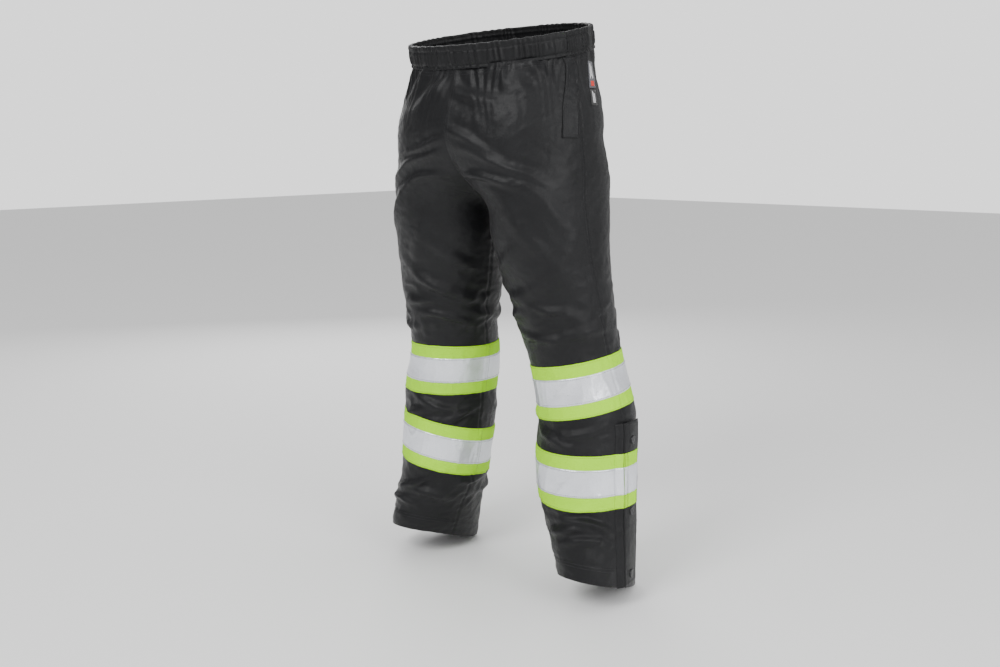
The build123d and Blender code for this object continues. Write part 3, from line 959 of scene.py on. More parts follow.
class Finishes:
    """Makes each material once and hands it out again when it is asked for by the same name."""

    def __init__(self) -> None:
        self._woven, self._worn = self._woven_group(), self._worn_group()
        self._made: dict[str, bpy.types.Material] = {}

    @staticmethod
    def _group(name: str, inputs: dict[str, object]) -> tuple[Nodes, bpy.types.Node, bpy.types.Node]:
        """A new node group that puts out a colour, a roughness and a normal.

        Args:
            name: the group's name.
            inputs: the value of each input; a tuple makes it a colour.

        Returns:
            The group's nodes, its input node and its output node.
        """
        tree = bpy.data.node_groups.new(name, "ShaderNodeTree")
        for label, value in inputs.items():
            kind = "NodeSocketColor" if isinstance(value, tuple) else "NodeSocketFloat"
            tree.interface.new_socket(label, in_out="INPUT", socket_type=kind).default_value = value
        for label, kind in (("Colour", "Color"), ("Roughness", "Float"), ("Normal", "Vector")):
            tree.interface.new_socket(label, in_out="OUTPUT", socket_type=f"NodeSocket{kind}")
        n = Nodes(tree)
        return n, n.add("NodeGroupInput"), n.add("NodeGroupOutput")

    def _woven_group(self) -> bpy.types.ShaderNodeTree:
        """The weave: crossed sine ribs along the cloth's coordinates, with grain, patches and creases."""
        grey = (0.5, 0.5, 0.5, 1)
        n, given, out = self._group(
            "WovenCloth", {"Colour": grey, "Shade": grey, "Roughness": 0.6, "Frequency": 900.0, "Relief": 0.3}
        )
        where = n.add("ShaderNodeUVMap", uv_map="cloth")
        place = n.add("ShaderNodeTexCoord")
        split = n.add("ShaderNodeSeparateXYZ")
        n.link(where.outputs[0], split.inputs[0])
        frequency = given.outputs["Frequency"]
        diagonal = n.maths("ADD", split.outputs[0], split.outputs[1])
        other = n.maths("SUBTRACT", split.outputs[0], split.outputs[1])
        ribs = n.maths("SINE", n.maths("MULTIPLY", diagonal, frequency))
        threads = n.maths("SINE", n.maths("MULTIPLY", n.maths("MULTIPLY", other, frequency), 2.7))
        weave = n.maths("ADD", n.maths("MULTIPLY", ribs, 0.6), n.maths("MULTIPLY", threads, 0.4))
        broad = n.add("ShaderNodeTexNoise", in_Scale=9.0, in_Detail=4.0, in_Roughness=0.6)
        grain = n.add("ShaderNodeTexNoise", in_Scale=420.0, in_Detail=3.0, in_Roughness=0.7)
        creases = n.add("ShaderNodeTexNoise", in_Scale=46.0, in_Detail=5.0, in_Roughness=0.62)
        for texture in (broad, grain, creases):
            n.link(place.outputs["Object"], texture.inputs["Vector"])
        patches = n.ranged(broad.outputs[0], 0.42, 0.72, 1.0)
        speckle = n.ranged(grain.outputs[0], 0.3, 0.7, 0.5)
        blend = n.maths("ADD", n.maths("MULTIPLY", patches, 0.45), speckle)
        clamp = n.add("ShaderNodeClamp")
        n.link(n.maths("ADD", blend, n.maths("MULTIPLY", weave, 0.12)), clamp.inputs[0])
        n.link(n.mix(clamp.outputs[0], given.outputs["Colour"], given.outputs["Shade"]), out.inputs["Colour"])
        rough = n.maths("ADD", given.outputs["Roughness"], n.maths("MULTIPLY", grain.outputs[0], 0.16))
        n.link(n.maths("SUBTRACT", rough, 0.08), out.inputs["Roughness"])
        height = n.maths("ADD", n.maths("MULTIPLY", weave, 0.25), n.maths("MULTIPLY", grain.outputs[0], 0.5))
        fine = n.add("ShaderNodeBump", in_Distance=0.0004)
        n.link(given.outputs["Relief"], fine.inputs["Strength"])
        n.link(height, fine.inputs["Height"])
        soft = n.add("ShaderNodeBump", in_Distance=0.004, in_Strength=0.35)
        n.link(creases.outputs[0], soft.inputs["Height"])
        n.link(fine.outputs[0], soft.inputs["Normal"])
        n.link(soft.outputs[0], out.inputs["Normal"])
        return n.tree

    def _worn_group(self) -> bpy.types.ShaderNodeTree:
        """Slight wear of a hard surface: noise that lightens, roughens and dents it."""
        grey = (0.5, 0.5, 0.5, 1)
        n, given, out = self._group("WornSurface", {"Colour": grey, "Worn": grey, "Roughness": 0.4})
        wear = n.add("ShaderNodeTexNoise", in_Scale=600.0, in_Detail=4.0, in_Roughness=0.6)
        n.link(n.add("ShaderNodeTexCoord").outputs["Object"], wear.inputs["Vector"])
        share = n.ranged(wear.outputs[0], 0.5, 0.75, 0.6)
        n.link(n.mix(share, given.outputs["Colour"], given.outputs["Worn"]), out.inputs["Colour"])
        rough = n.maths("ADD", given.outputs["Roughness"], n.maths("MULTIPLY", wear.outputs[0], 0.2))
        n.link(rough, out.inputs["Roughness"])
        bump = n.add("ShaderNodeBump", in_Distance=0.0001, in_Strength=0.3)
        n.link(wear.outputs[0], bump.inputs["Height"])
        n.link(bump.outputs[0], out.inputs["Normal"])
        return n.tree

    def _material(
        self, name: str, group: bpy.types.ShaderNodeTree, given: dict[str, object], **settings: object
    ) -> bpy.types.Material:
        """A material whose surface takes its colour, roughness and normal from a group.

        Args:
            name: the material's name.
            group: the node group.
            given: the values of the group's inputs.
            settings: the other inputs of the surface, with names that start with in_.

        Returns:
            The material, made now or before.
        """
        if name in self._made:
            return self._made[name]
        material = bpy.data.materials.new(name)
        material.use_nodes = True
        material.node_tree.nodes.clear()
        n = Nodes(material.node_tree)
        pattern = n.add("ShaderNodeGroup", node_tree=group)
        for label, value in given.items():
            pattern.inputs[label].default_value = value
        surface = n.add("ShaderNodeBsdfPrincipled", **settings)
        n.link(pattern.outputs["Colour"], surface.inputs["Base Color"])
        n.link(pattern.outputs["Roughness"], surface.inputs["Roughness"])
        n.link(pattern.outputs["Normal"], surface.inputs["Normal"])
        # a finish with a glow also emits its own colour: a painted glow, since the cloth is no lamp
        if surface.inputs["Emission Strength"].default_value > 0:
            n.link(pattern.outputs["Colour"], surface.inputs["Emission Color"])
        n.link(surface.outputs[0], n.add("ShaderNodeOutputMaterial").inputs[0])
        self._made[name] = material
        return material

    def cloth(self, finish: ClothFinish) -> bpy.types.Material:
        """The woven material of a finish.

        Args:
            finish: its look.

        Returns:
            The material.
        """
        given = {
            "Colour": (*finish.colour, 1),
            "Shade": (*finish.shade, 1),
            "Roughness": finish.roughness,
            "Frequency": 2 * math.pi / finish.pitch,
            "Relief": finish.relief,
        }
        return self._material(
            finish.name,
            self._woven,
            given,
            in_IOR=1.5,
            in_Specular_IOR_Level=0.22,
            in_Sheen_Weight=finish.sheen,
            in_Sheen_Roughness=0.45,
            # painted glow; above 0 only for the fluorescent tape
            in_Emission_Strength=finish.glow,
            in_Metallic=finish.metallic,
        )

    def hard(self, finish: HardFinish) -> bpy.types.Material:
        """The painted, plated or moulded material of a finish, lighter where it is worn.

        Args:
            finish: its look.

        Returns:
            The material.
        """
        worn = tuple(min(1.0, c * 1.8 + 0.01) for c in finish.colour)
        given = {"Colour": (*finish.colour, 1), "Worn": (*worn, 1), "Roughness": finish.roughness}
        return self._material(finish.name, self._worn, given, in_Metallic=finish.metallic)


# -------------------- riding on the frame
@dataclass(frozen=True)
class Bend:
    """A slab of the garment across which fabric turns from one body to the next.

    Attributes:
        parent, child: the bodies on its two sides.
        start, end: places on its two faces, in metres.
    """

    parent: str
    child: str
    start: tuple[float, float, float]
    end: tuple[float, float, float]

    @classmethod
    def hip(cls, side: Side) -> "Bend":
        """The slanted slab below the crease at the top of a leg.

        Args:
            side: the leg.

        Returns:
            The bend, across the hip sleeve and a little beyond it.
        """
        across = math.hypot(CREASE_SLOPE, 1.0)
        normal = (-CREASE_SLOPE * side.value / across, 0.0, 1.0 / across)
        depth = HIP_SLEEVE_DROP / across
        origin = (0.0, FORE_AFT, CREASE_HEIGHT + GROUND)
        start = tuple(MM * (o + 30 * k) for o, k in zip(origin, normal))
        end = tuple(MM * (o - (depth + 18) * k) for o, k in zip(origin, normal))
        return cls("seat", side.body("thigh"), start, end)

    @classmethod
    def knee(cls, side: Side) -> "Bend":
        """The level slab round a knee."""
        top, bottom = ((0.0, 0.0, (GROUND + z) * MM) for z in (KNEE_TOP + 5, KNEE_BOTTOM))
        return cls(side.body("thigh"), side.body("shin"), top, bottom)

    def hold(self, obj: bpy.types.Object) -> None:
        """Bakes the object's transform into its mesh; the slab's start and end are read, but nothing bends.
        """
        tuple(self.start)
        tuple(self.end)
        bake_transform(obj)


def dress(
    name: str,
    grids: list[Grid],
    material: bpy.types.Material,
    holder: str | Bend,
    slot: str,
    nodes: tuple[str, ...] = (),
    merge: float = MERGE,
) -> bpy.types.Object:
    """Makes one piece and ties it to a CAD body of the frame; a piece given a bend only has its transform
    baked.

    Args:
        name: the piece's name.
        grids: the sheets that make it up.
        material: its finish.
        holder: the CAD body that carries it, or a bend, which only bakes its transform.
        slot: the record's material slot meant for it; not used.
        nodes: the CAD nodes that it stands for.
        merge: distance in millimetres within which points become one.

    Returns:
        The finished piece.
    """
    obj = MeshMaker.build(name, grids, material, merge)
    if isinstance(holder, Bend):
        holder.hold(obj)
    else:
        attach(obj, holder)
    if nodes:
        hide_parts(*nodes)
    return obj


@dataclass
class SideBuilder:
    """What the makers of one side's pieces share.

    Attributes:
        half: the surface of that side.
        finishes: the materials.
    """

    half: HalfGarment
    finishes: Finishes

    @property
    def side(self) -> Side:
        """The wearer's side."""
        return self.half.side

    def named(self, *nodes: str) -> tuple[str, ...]:
        """The names of this side's CAD nodes."""
        return tuple(f"{node}_{self.side.word}" for node in nodes)


# -------------------- shell, hem and lining
@dataclass
class ShellBuilder(SideBuilder):
    """The outer fabric of one side, with its turned hem, its lining and the slot for the zip.

    Attributes:
        around, step: cells round the shell, and the height of its rows.
        lining_around, lining_step: the same for the lining.
        lining_depth: how far inside the fabric's outside the lining lies.
        front_share: share of the cells that lie ahead of the zip.
        slot_cells: cells across the zip's slot.
        sunk: how far the bands press the fabric in.
        edge_radius: radius of the fabric's turn at the hem.
        quilt_pitch, quilt_depth: spacing of the quilting's lines and height of its diamonds.
    """

    around: int = 196
    step: float = 3.1
    lining_around: int = 110
    lining_step: float = 6.0
    lining_depth: float = 4.2
    front_share: float = 0.47
    slot_cells: int = 4
    sunk: float = 1.3
    edge_radius: float = 1.3
    quilt_pitch: float = 90.0
    quilt_depth: float = 3.0

    def slot_column(self, count: int) -> int:
        """The column at which the zip's slot starts."""
        return int(count * self.front_share)

    def columns(self, z: np.ndarray, count: int) -> np.ndarray:
        """Angles of the columns: even steps ahead of the zip's slot, across it and behind it.

        The ends lie where the halves meet. A row tilts, so its height there is found by repetition.

        Args:
            z: levels of the rows.
            count: cells ahead of the slot and behind it, together.

        Returns:
            Angles, rows x columns.
        """
        form = self.half.form
        ahead = behind = form.reach(z)
        for _ in range(5):
            ahead = form.reach(self.half.row_height(-ahead, z))
            behind = form.reach(self.half.row_height(behind, z))
        ahead, behind = ahead[:, None], behind[:, None]
        slot = (SLOT_HALF_WIDTH / form.speed(np.full(len(z), SEAM_ANGLE), z))[:, None]
        front = self.slot_column(count)
        ramp_front = np.linspace(0, 1, front, endpoint=False)[None]
        ramp_back = np.linspace(0, 1, count - front + 1)[None]
        middle = np.linspace(-1, 1, self.slot_cells + 1)[None, :-1]
        parts = (
            -ahead + ramp_front * (SEAM_ANGLE - slot + ahead),
            SEAM_ANGLE + middle * slot,
            SEAM_ANGLE + slot + ramp_back * (behind - SEAM_ANGLE - slot),
        )
        return np.concatenate(parts, 1)

    def laid(self, level: np.ndarray, count: int) -> tuple[np.ndarray, np.ndarray]:
        """Angles and heights of the grid's points on rows at these levels."""
        angle = self.columns(level, count)
        return angle, self.half.row_height(angle, np.broadcast_to(level[:, None], angle.shape))

    def sheet(
        self, low: float, high: float, step: float, count: int, depth: float = 0.0
    ) -> tuple[np.ndarray, np.ndarray, np.ndarray]:
        """A stretch of the fabric, or of the lining where depth is more than 0.

        Args:
            low: level of the first row.
            high: level of the last row.
            step: distance between rows.
            count: cells round the leg.
            depth: distance inside the fabric's outside.

        Returns:
            Angles, heights and points.
        """
        angle, height = self.laid(np.linspace(low, high, int(round((high - low) / step)) + 1), count)
        sunk = self.sunk * self.half.folds.under_bands(self.half.form.point(angle, height))
        points = self.half.surface(angle, height, -depth - sunk)
        if depth > 0:
            points = self.quilt(points, angle, height)
            for edge in (0, -1):
                points[height[:, edge] > CREASE_HEIGHT + 1, edge, 0] = 0.0  # sewn together at the middle
        return angle, height, points

    def quilt(self, points: np.ndarray, angle: np.ndarray, height: np.ndarray) -> np.ndarray:
        """The lining swollen inwards between two crossing sets of slanting lines, by the root of a sine.

        Args:
            points: the flat lining.
            angle: angles of its points.
            height: heights of its points.

        Returns:
            The quilted lining's points.
        """
        along = angle * LEG_RADIUS
        rising = np.abs(np.sin((along + height) * math.pi / self.quilt_pitch))
        falling = np.abs(np.sin((along - height) * math.pi / self.quilt_pitch))
        swell = np.sqrt(np.clip(np.minimum(rising, falling), 0, 1)) * self.quilt_depth
        inward = -self.half.form.normal(angle, height) * np.array([self.side.value, 1.0, 1.0])
        return points + inward * swell[..., None]

    def slot_mask(self, height: np.ndarray, count: int, margin: float = 0.0) -> np.ndarray:
        """True for the cells that stay: all but those over the zip.

        Args:
            height: heights of the grid's points.
            count: cells round the leg.
            margin: how far the slot runs on above the zip.

        Returns:
            A mask of the cells.
        """
        front = self.slot_column(count)
        keep = np.ones((height.shape[0] - 1, height.shape[1] - 1), bool)
        keep[height[:-1, front] < ZIP_TOP + margin, front : front + self.slot_cells] = False
        return keep

    def build(self) -> list[bpy.types.Object]:
        """Makes the upper and lower shell of this side and both of their linings."""
        shell, lining = self.finishes.cloth(SHELL), self.finishes.cloth(LINING)
        top, inner_bottom = WAIST_SEAM + 4, HEM_HEIGHT + HEM_DEPTH + 4
        inner = (self.lining_step, self.lining_around, self.lining_depth)
        upper = self.sheet(LEG_SPLIT, top, self.step, self.around)[-1]
        angle, height, lower = self.sheet(HEM_HEIGHT, LEG_SPLIT, self.step, self.around)
        outside = [Grid(lower, keep=self.slot_mask(height, self.around))]
        outside += [self.turned_hem(), *self.slot_walls(angle, height)]
        inner_upper = self.sheet(LEG_SPLIT, top, *inner)[-1]
        _, height, inner_lower = self.sheet(inner_bottom, LEG_SPLIT, *inner)
        inside = Grid(inner_lower, flip=True, keep=self.slot_mask(height, self.lining_around, 8))
        hip, knee = Bend.hip(self.side), Bend.knee(self.side)
        seat_nodes = ("front_seat", "back_seat", "hip_sleeve", "front_thigh", "back_thigh")
        shin_nodes = ("knee_sleeve", "front_shin", "back_shin", "hem_facing")
        inner_nodes = ("thigh_lining", "pocket_bag")
        made = []
        for part, grids, material, bend, slot, nodes in (
            ("shell_upper", [Grid(upper)], shell, hip, "shell_fabric", seat_nodes),
            ("shell_lower", outside, shell, knee, "shell_fabric", shin_nodes),
            ("lining_upper", [Grid(inner_upper, flip=True)], lining, hip, "lining", inner_nodes),
            ("lining_lower", [inside], lining, knee, "lining", ("shin_lining",)),
        ):
            grids = mirrored(grids, self.side)
            obj = dress(f"{part}_{self.side.word}", grids, material, bend, slot, self.named(*nodes))
            made.append(obj)
        if self.side is Side.LEFT:
            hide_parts("seat_lining")
        return made

    def turned_hem(self) -> Grid:
        """The fabric rounding the hem's edge by half a circle and running up inside to the stitch line."""
        angle, height = self.laid(np.full(1, HEM_HEIGHT), self.around)
        rows = []
        for turn in np.linspace(0, math.pi, 7):
            row = self.half.surface(angle, height, self.edge_radius * (math.cos(turn) - 1))[0]
            row[..., 2] -= self.edge_radius * math.sin(turn)
            rows.append(row)
        for level in np.linspace(HEM_HEIGHT + 3, HEM_HEIGHT + HEM_DEPTH + 6, 12):
            place = self.laid(np.full(1, level), self.around)
            rows.append(self.half.surface(*place, -2 * self.edge_radius)[0])
        points = np.stack(rows)
        front = self.slot_column(self.around)
        keep = np.ones((points.shape[0] - 1, points.shape[1] - 1), bool)
        keep[:, front : front + self.slot_cells] = False
        return Grid(points, flip=True, keep=keep)

    def slot_walls(self, angle: np.ndarray, height: np.ndarray) -> list[Grid]:
        """The folded edges of the fabric along both sides of the zip's slot.

        Args:
            angle: angles of the lower shell's points.
            height: heights of the lower shell's points.

        Returns:
            One sheet for each edge.
        """
        front = self.slot_column(self.around)
        rows = height[:, front] < ZIP_TOP + 3
        walls = []
        for column, hand in ((front, 1), (front + self.slot_cells, -1)):
            a, z = angle[rows, column], height[rows, column]
            inward = hand * 1.0 / self.half.form.speed(a, z)
            steps = ((0, 0.0), (inward, -0.7), (0, -2.4))
            layers = [self.half.surface(a + shift, z, lift) for shift, lift in steps]
            walls.append(Grid(np.stack(layers, 1), flip=hand < 0))
        return walls


# -------------------- waistband
@dataclass
class WaistbandBuilder:
    """The gathered elastic casing round the waist.

    Attributes:
        finishes: the materials.
        count: columns round the waist.
        out: how far the outside stands off the frame's ellipse.
        inside: how far within that ellipse the inside lies.
        edge: half the height of the rounded top edge.
    """

    finishes: Finishes
    count: int = 720
    out: float = 2.0
    inside: float = 5.2
    edge: float = 1.8

    def profile(self) -> list[tuple[float, float, float]]:
        """Distance outwards, distance up and share of the gathers, from the seam over the top and down."""
        rows = [(-5.0, -1.2, 0.2), (-2.0, -1.9, 0.4), (0.6, -1.9, 0.8)]
        rows += [(self.out, CASING_HEIGHT * t, 1.0) for t in np.linspace(-0.03, 1, 30)]
        middle, radius = (self.out - self.inside) / 2, (self.out + self.inside) / 2
        for turn in np.linspace(0.15, 0.85, 7) * math.pi:
            out, up = middle + radius * math.cos(turn), CASING_HEIGHT + self.edge * math.sin(turn)
            rows.append((out, up, 0.55))
        return rows + [(-self.inside, CASING_HEIGHT * t, 0.8) for t in np.linspace(1, -0.05, 22)]

    def build(self) -> list[bpy.types.Object]:
        """Makes the casing as one ring: sine gathers of wandering phase, swollen between its seams."""
        station, slope = STATIONS[-1], math.atan(WAIST_SLOPE)
        angle = np.linspace(-math.pi, math.pi, self.count, endpoint=False)
        circle = np.stack([np.cos(angle), np.sin(angle)], -1) * 3.0
        phase = WaveNoise(71, 1.6, (1.0, 1.0), 12)(circle)
        drift = WaveNoise(72, 0.8, (1.0, 1.0), 10)(circle)
        rows = []
        for out, up, share in self.profile():
            t = np.clip(up / CASING_HEIGHT, 0, 1)
            bulge = math.sin(math.pi * t) ** 0.6 if 0 < t < 1 else 0.0
            drawn = -1.6 * bell(up, 4.0, 2.2) - 1.2 * bell(up, 29, 1.8)
            lean = drift + 0.5 * np.sin(angle * 23 + 2.0 * phase) * t
            puff = 1.0 - 1.7 * np.abs(np.sin(angle * 41 + 4.5 * phase + 1.6 * lean)) ** 0.8
            pucker = np.sin(angle * 104 + 6.0 * phase + 2.2 * lean) * 0.55
            gathers = puff * (0.5 + 1.1 * bulge) + pucker * (0.6 + 0.5 * bulge)
            offset = out + share * (0.5 * bulge + drawn + gathers)
            across = (station.half_width + offset) * np.cos(angle)
            back = (station.half_depth + offset) * np.sin(angle) + station.y
            rise = up + 0.5 * np.sin(angle * 41 + 6 * phase) * t
            y = back * math.cos(slope) - rise * math.sin(slope) + FORE_AFT
            z = WAIST_SEAM + back * math.sin(slope) + rise * math.cos(slope)
            rows.append(np.stack([across, y, z], -1))
        obj = dress(
            "waistband_fabric",
            [Grid(np.stack(rows), closed=True)],
            self.finishes.cloth(CASING),
            "seat",
            "shell_fabric",
            ("waistband_casing", "waist_elastic"),
        )
        return [obj]


# -------------------- bands
ROOT_START = FLAP_FRONT - 6.0


def root_rise(behind: np.ndarray) -> np.ndarray:
    """How far the flap's stitched root stands off the leg, at distances behind the side seam."""
    return 0.9 + (FLAP_LIFT + 1.1) * smoothstep(np.asarray(behind, float), ROOT_START, FLAP_HINGE)


@dataclass(frozen=True)
class BandSpec:
    """Where one band sits.

    Attributes:
        height: height of its middle at the leg's axis.
        outwards, backwards: its rise for each millimetre in those directions.
        on_cuff: whether it crosses the zip and the flap.
    """

    height: float
    outwards: float
    backwards: float
    on_cuff: bool

    def middle(self, form: TrouserForm, points: np.ndarray) -> np.ndarray:
        """The sloping plane through the band's middle.

        Args:
            form: the smooth body.
            points: points of it.

        Returns:
            The plane's heights at those points.
        """
        axis = form.rows(np.array(self.height))
        slope = self.outwards * (points[..., 0] - axis[0]) + self.backwards * (points[..., 1] - axis[1])
        return self.height + slope


BANDS = {
    Side.LEFT: (BandSpec(372, 0.17, 0.10, False), BandSpec(204, 0.0, 0.0, True)),
    Side.RIGHT: (BandSpec(366, 0.0, 0.0, False), BandSpec(202, 0.15, -0.16, True)),
}


@dataclass
class BandBuilder(SideBuilder):
    """The bright bands and silver strips of one leg.

    Attributes:
        thick: thickness of the tape.
        lift: distance of a band's underside off the fabric; a strip lies one thickness higher.
        around: columns of a band that goes all the way round.
        row: distance between rows.
        creases: noise that gives the tape's creases.
    """

    thick: float = 0.5
    lift: float = 0.5
    around: int = 204
    row: float = 2.9
    creases: WaveNoise = field(init=False)

    def __post_init__(self) -> None:
        self.creases = WaveNoise(41 + self.side.value, 40, (0.9, 0.9, 1.9), 12)

    def heights(self, spec: BandSpec, angle: np.ndarray, offset: float) -> np.ndarray:
        """Heights of a line of the band, where the leg meets the band's plane, found by repetition.

        Args:
            spec: the band.
            angle: angles round the leg.
            offset: distance of the line above the band's middle.

        Returns:
            Heights, of angle's shape.
        """
        z = np.full(np.shape(angle), spec.height + offset)
        for _ in range(3):
            z = spec.middle(self.half.form, self.half.form.point(angle, z)) + offset
        return z

    def relief(
        self, angle: np.ndarray, z: np.ndarray, offset: np.ndarray, edge: np.ndarray | float
    ) -> np.ndarray:
        """How far the tape rises: sine puckers that fade from its edge, and ridges where noise is near 0.

        Args:
            angle: angles round the leg.
            z: heights.
            offset: distances to the band's middle.
            edge: distances to the tape's edge.

        Returns:
            Millimetres of rise.
        """
        pucker = 0.3 * np.sin(angle * LEG_RADIUS / 2.3) * np.exp(-edge / 5)
        crease = np.clip(1.0 - 2.2 * np.abs(self.creases(self.half.form.point(angle, z))), -0.4, 1.0)
        return pucker + 0.8 * crease * np.clip((BAND_WIDTH / 2 - np.abs(offset)) / 9, 0, 1)

    def strip(
        self, spec: BandSpec, width: float, lift: float | np.ndarray, angles: np.ndarray, closed: bool = False
    ) -> list[Grid]:
        """A strip of tape round the leg, as a thin slab.

        Args:
            spec: the band that it belongs to.
            width: the strip's width.
            lift: distance of its underside off the fabric.
            angles: angles of its columns.
            closed: whether it goes all the way round.

        Returns:
            The slab's sheets.
        """
        offsets = np.linspace(-width / 2, width / 2, int(width / self.row) + 1)
        z = np.stack([self.heights(spec, angles, o) for o in offsets])
        a = np.broadcast_to(angles, z.shape)
        edge = np.minimum(np.abs(offsets - offsets[0]), np.abs(offsets - offsets[-1]))[:, None]
        rise = self.relief(a, z, offsets[:, None], edge)
        top = self.half.surface(a, z, lift + self.thick + rise)
        return mirrored(skirted(top, self.half.surface(a, z, lift - 0.6), closed), self.side)

    def wrapped(self, spec: BandSpec, width: float, lift: float) -> list[Grid]:
        """One strip where it belongs: round the whole leg, or from the zip's slot over the flap's root.

        Args:
            spec: the band.
            width: the strip's width.
            lift: distance of its underside off the fabric.

        Returns:
            The strip's sheets.
        """
        if not spec.on_cuff:
            angles = np.linspace(-math.pi, math.pi, self.around, endpoint=False)
            return self.strip(spec, width, lift, angles, True)
        angle_at = self.half.form.angle_at
        first = angle_at(SLOT_HALF_WIDTH + 1.5, spec.height)
        last = angle_at(ROOT_START - 1.0, spec.height)
        grids = self.strip(spec, width, lift, np.linspace(first, last + 2 * math.pi, 200))
        behind = np.linspace(ROOT_START - 1.5, FLAP_HINGE - 0.2, 12)
        angles = np.array([angle_at(b, spec.height) for b in behind])
        return grids + self.strip(spec, width, root_rise(behind) - 0.6 + lift - 0.1, angles)

    def build(self) -> list[bpy.types.Object]:
        """Makes every band and strip of this leg."""
        made = []
        for kind, width, lift, finish in (
            ("hivis_band", BAND_WIDTH, self.lift, HIVIS),
            ("reflective_strip", STRIP_WIDTH, self.lift + self.thick, SILVER),
        ):
            grids = [grid for spec in BANDS[self.side] for grid in self.wrapped(spec, width, lift)]
            name, shin = f"{kind}s_on_{self.side.word}_leg", self.side.body("shin")
            material, nodes = self.finishes.cloth(finish), self.named(f"{kind}s")
            made.append(dress(name, grids, material, shin, finish.name, nodes))
        return made


# -------------------- zip, flap and snaps
@dataclass(frozen=True)
class Snap:
    """One kind of snap part, turned from a profile of radius and height.

    Attributes:
        name: the piece's name, without its side.
        node: the CAD node that it stands for, without its side.
        part: the body that carries it.
        lift: distance of its base off the fabric.
        finish: its look.
        profile: radius and height, from its rim to its middle.
        inverted: whether the profile runs down instead of up.
    """

    name: str
    node: str
    part: str
    lift: float
    finish: HardFinish
    profile: tuple[tuple[float, float], ...]
    inverted: bool = False


SNAP_RIM = ((8.0, -0.9), (8.0, 0.9), (7.6, 1.6), (6.9, 1.9), (6.0, 1.7))
SNAP_DISH = ((5.3, 1.3), (4.2, 1.4), (2.4, 1.7), (0.9, 1.85), (0.01, 1.9))
SNAP_RING = ((5.2, 1.0), (5.2, 0.2), (4.6, -0.4), (4.2, -1.2), (3.2, -1.6))
SNAP_SOCKET = (*SNAP_RING, (2.4, -1.4), (2.3, 0.6), (0.01, 0.6))
SNAP_BASE = ((4.4, -0.3), (4.4, 0.5), (3.6, 0.9), (1.9, 1.2))
SNAP_POST = ((1.6, 1.6), (1.6, 2.4), (2.0, 3.0), (1.5, 3.7), (0.01, 3.9))
SNAPS = (
    Snap("snap_cap_tops", "snap_caps", "flap", FLAP_LIFT + 2.1, SNAP_CAP, SNAP_RIM + SNAP_DISH),
    Snap("snap_socket_rings", "snap_sockets", "flap", FLAP_LIFT - 0.7, SNAP_METAL, SNAP_SOCKET, True),
    Snap("snap_stud_posts", "snap_studs", "shin", 0.1, SNAP_METAL, SNAP_BASE + SNAP_POST),
)


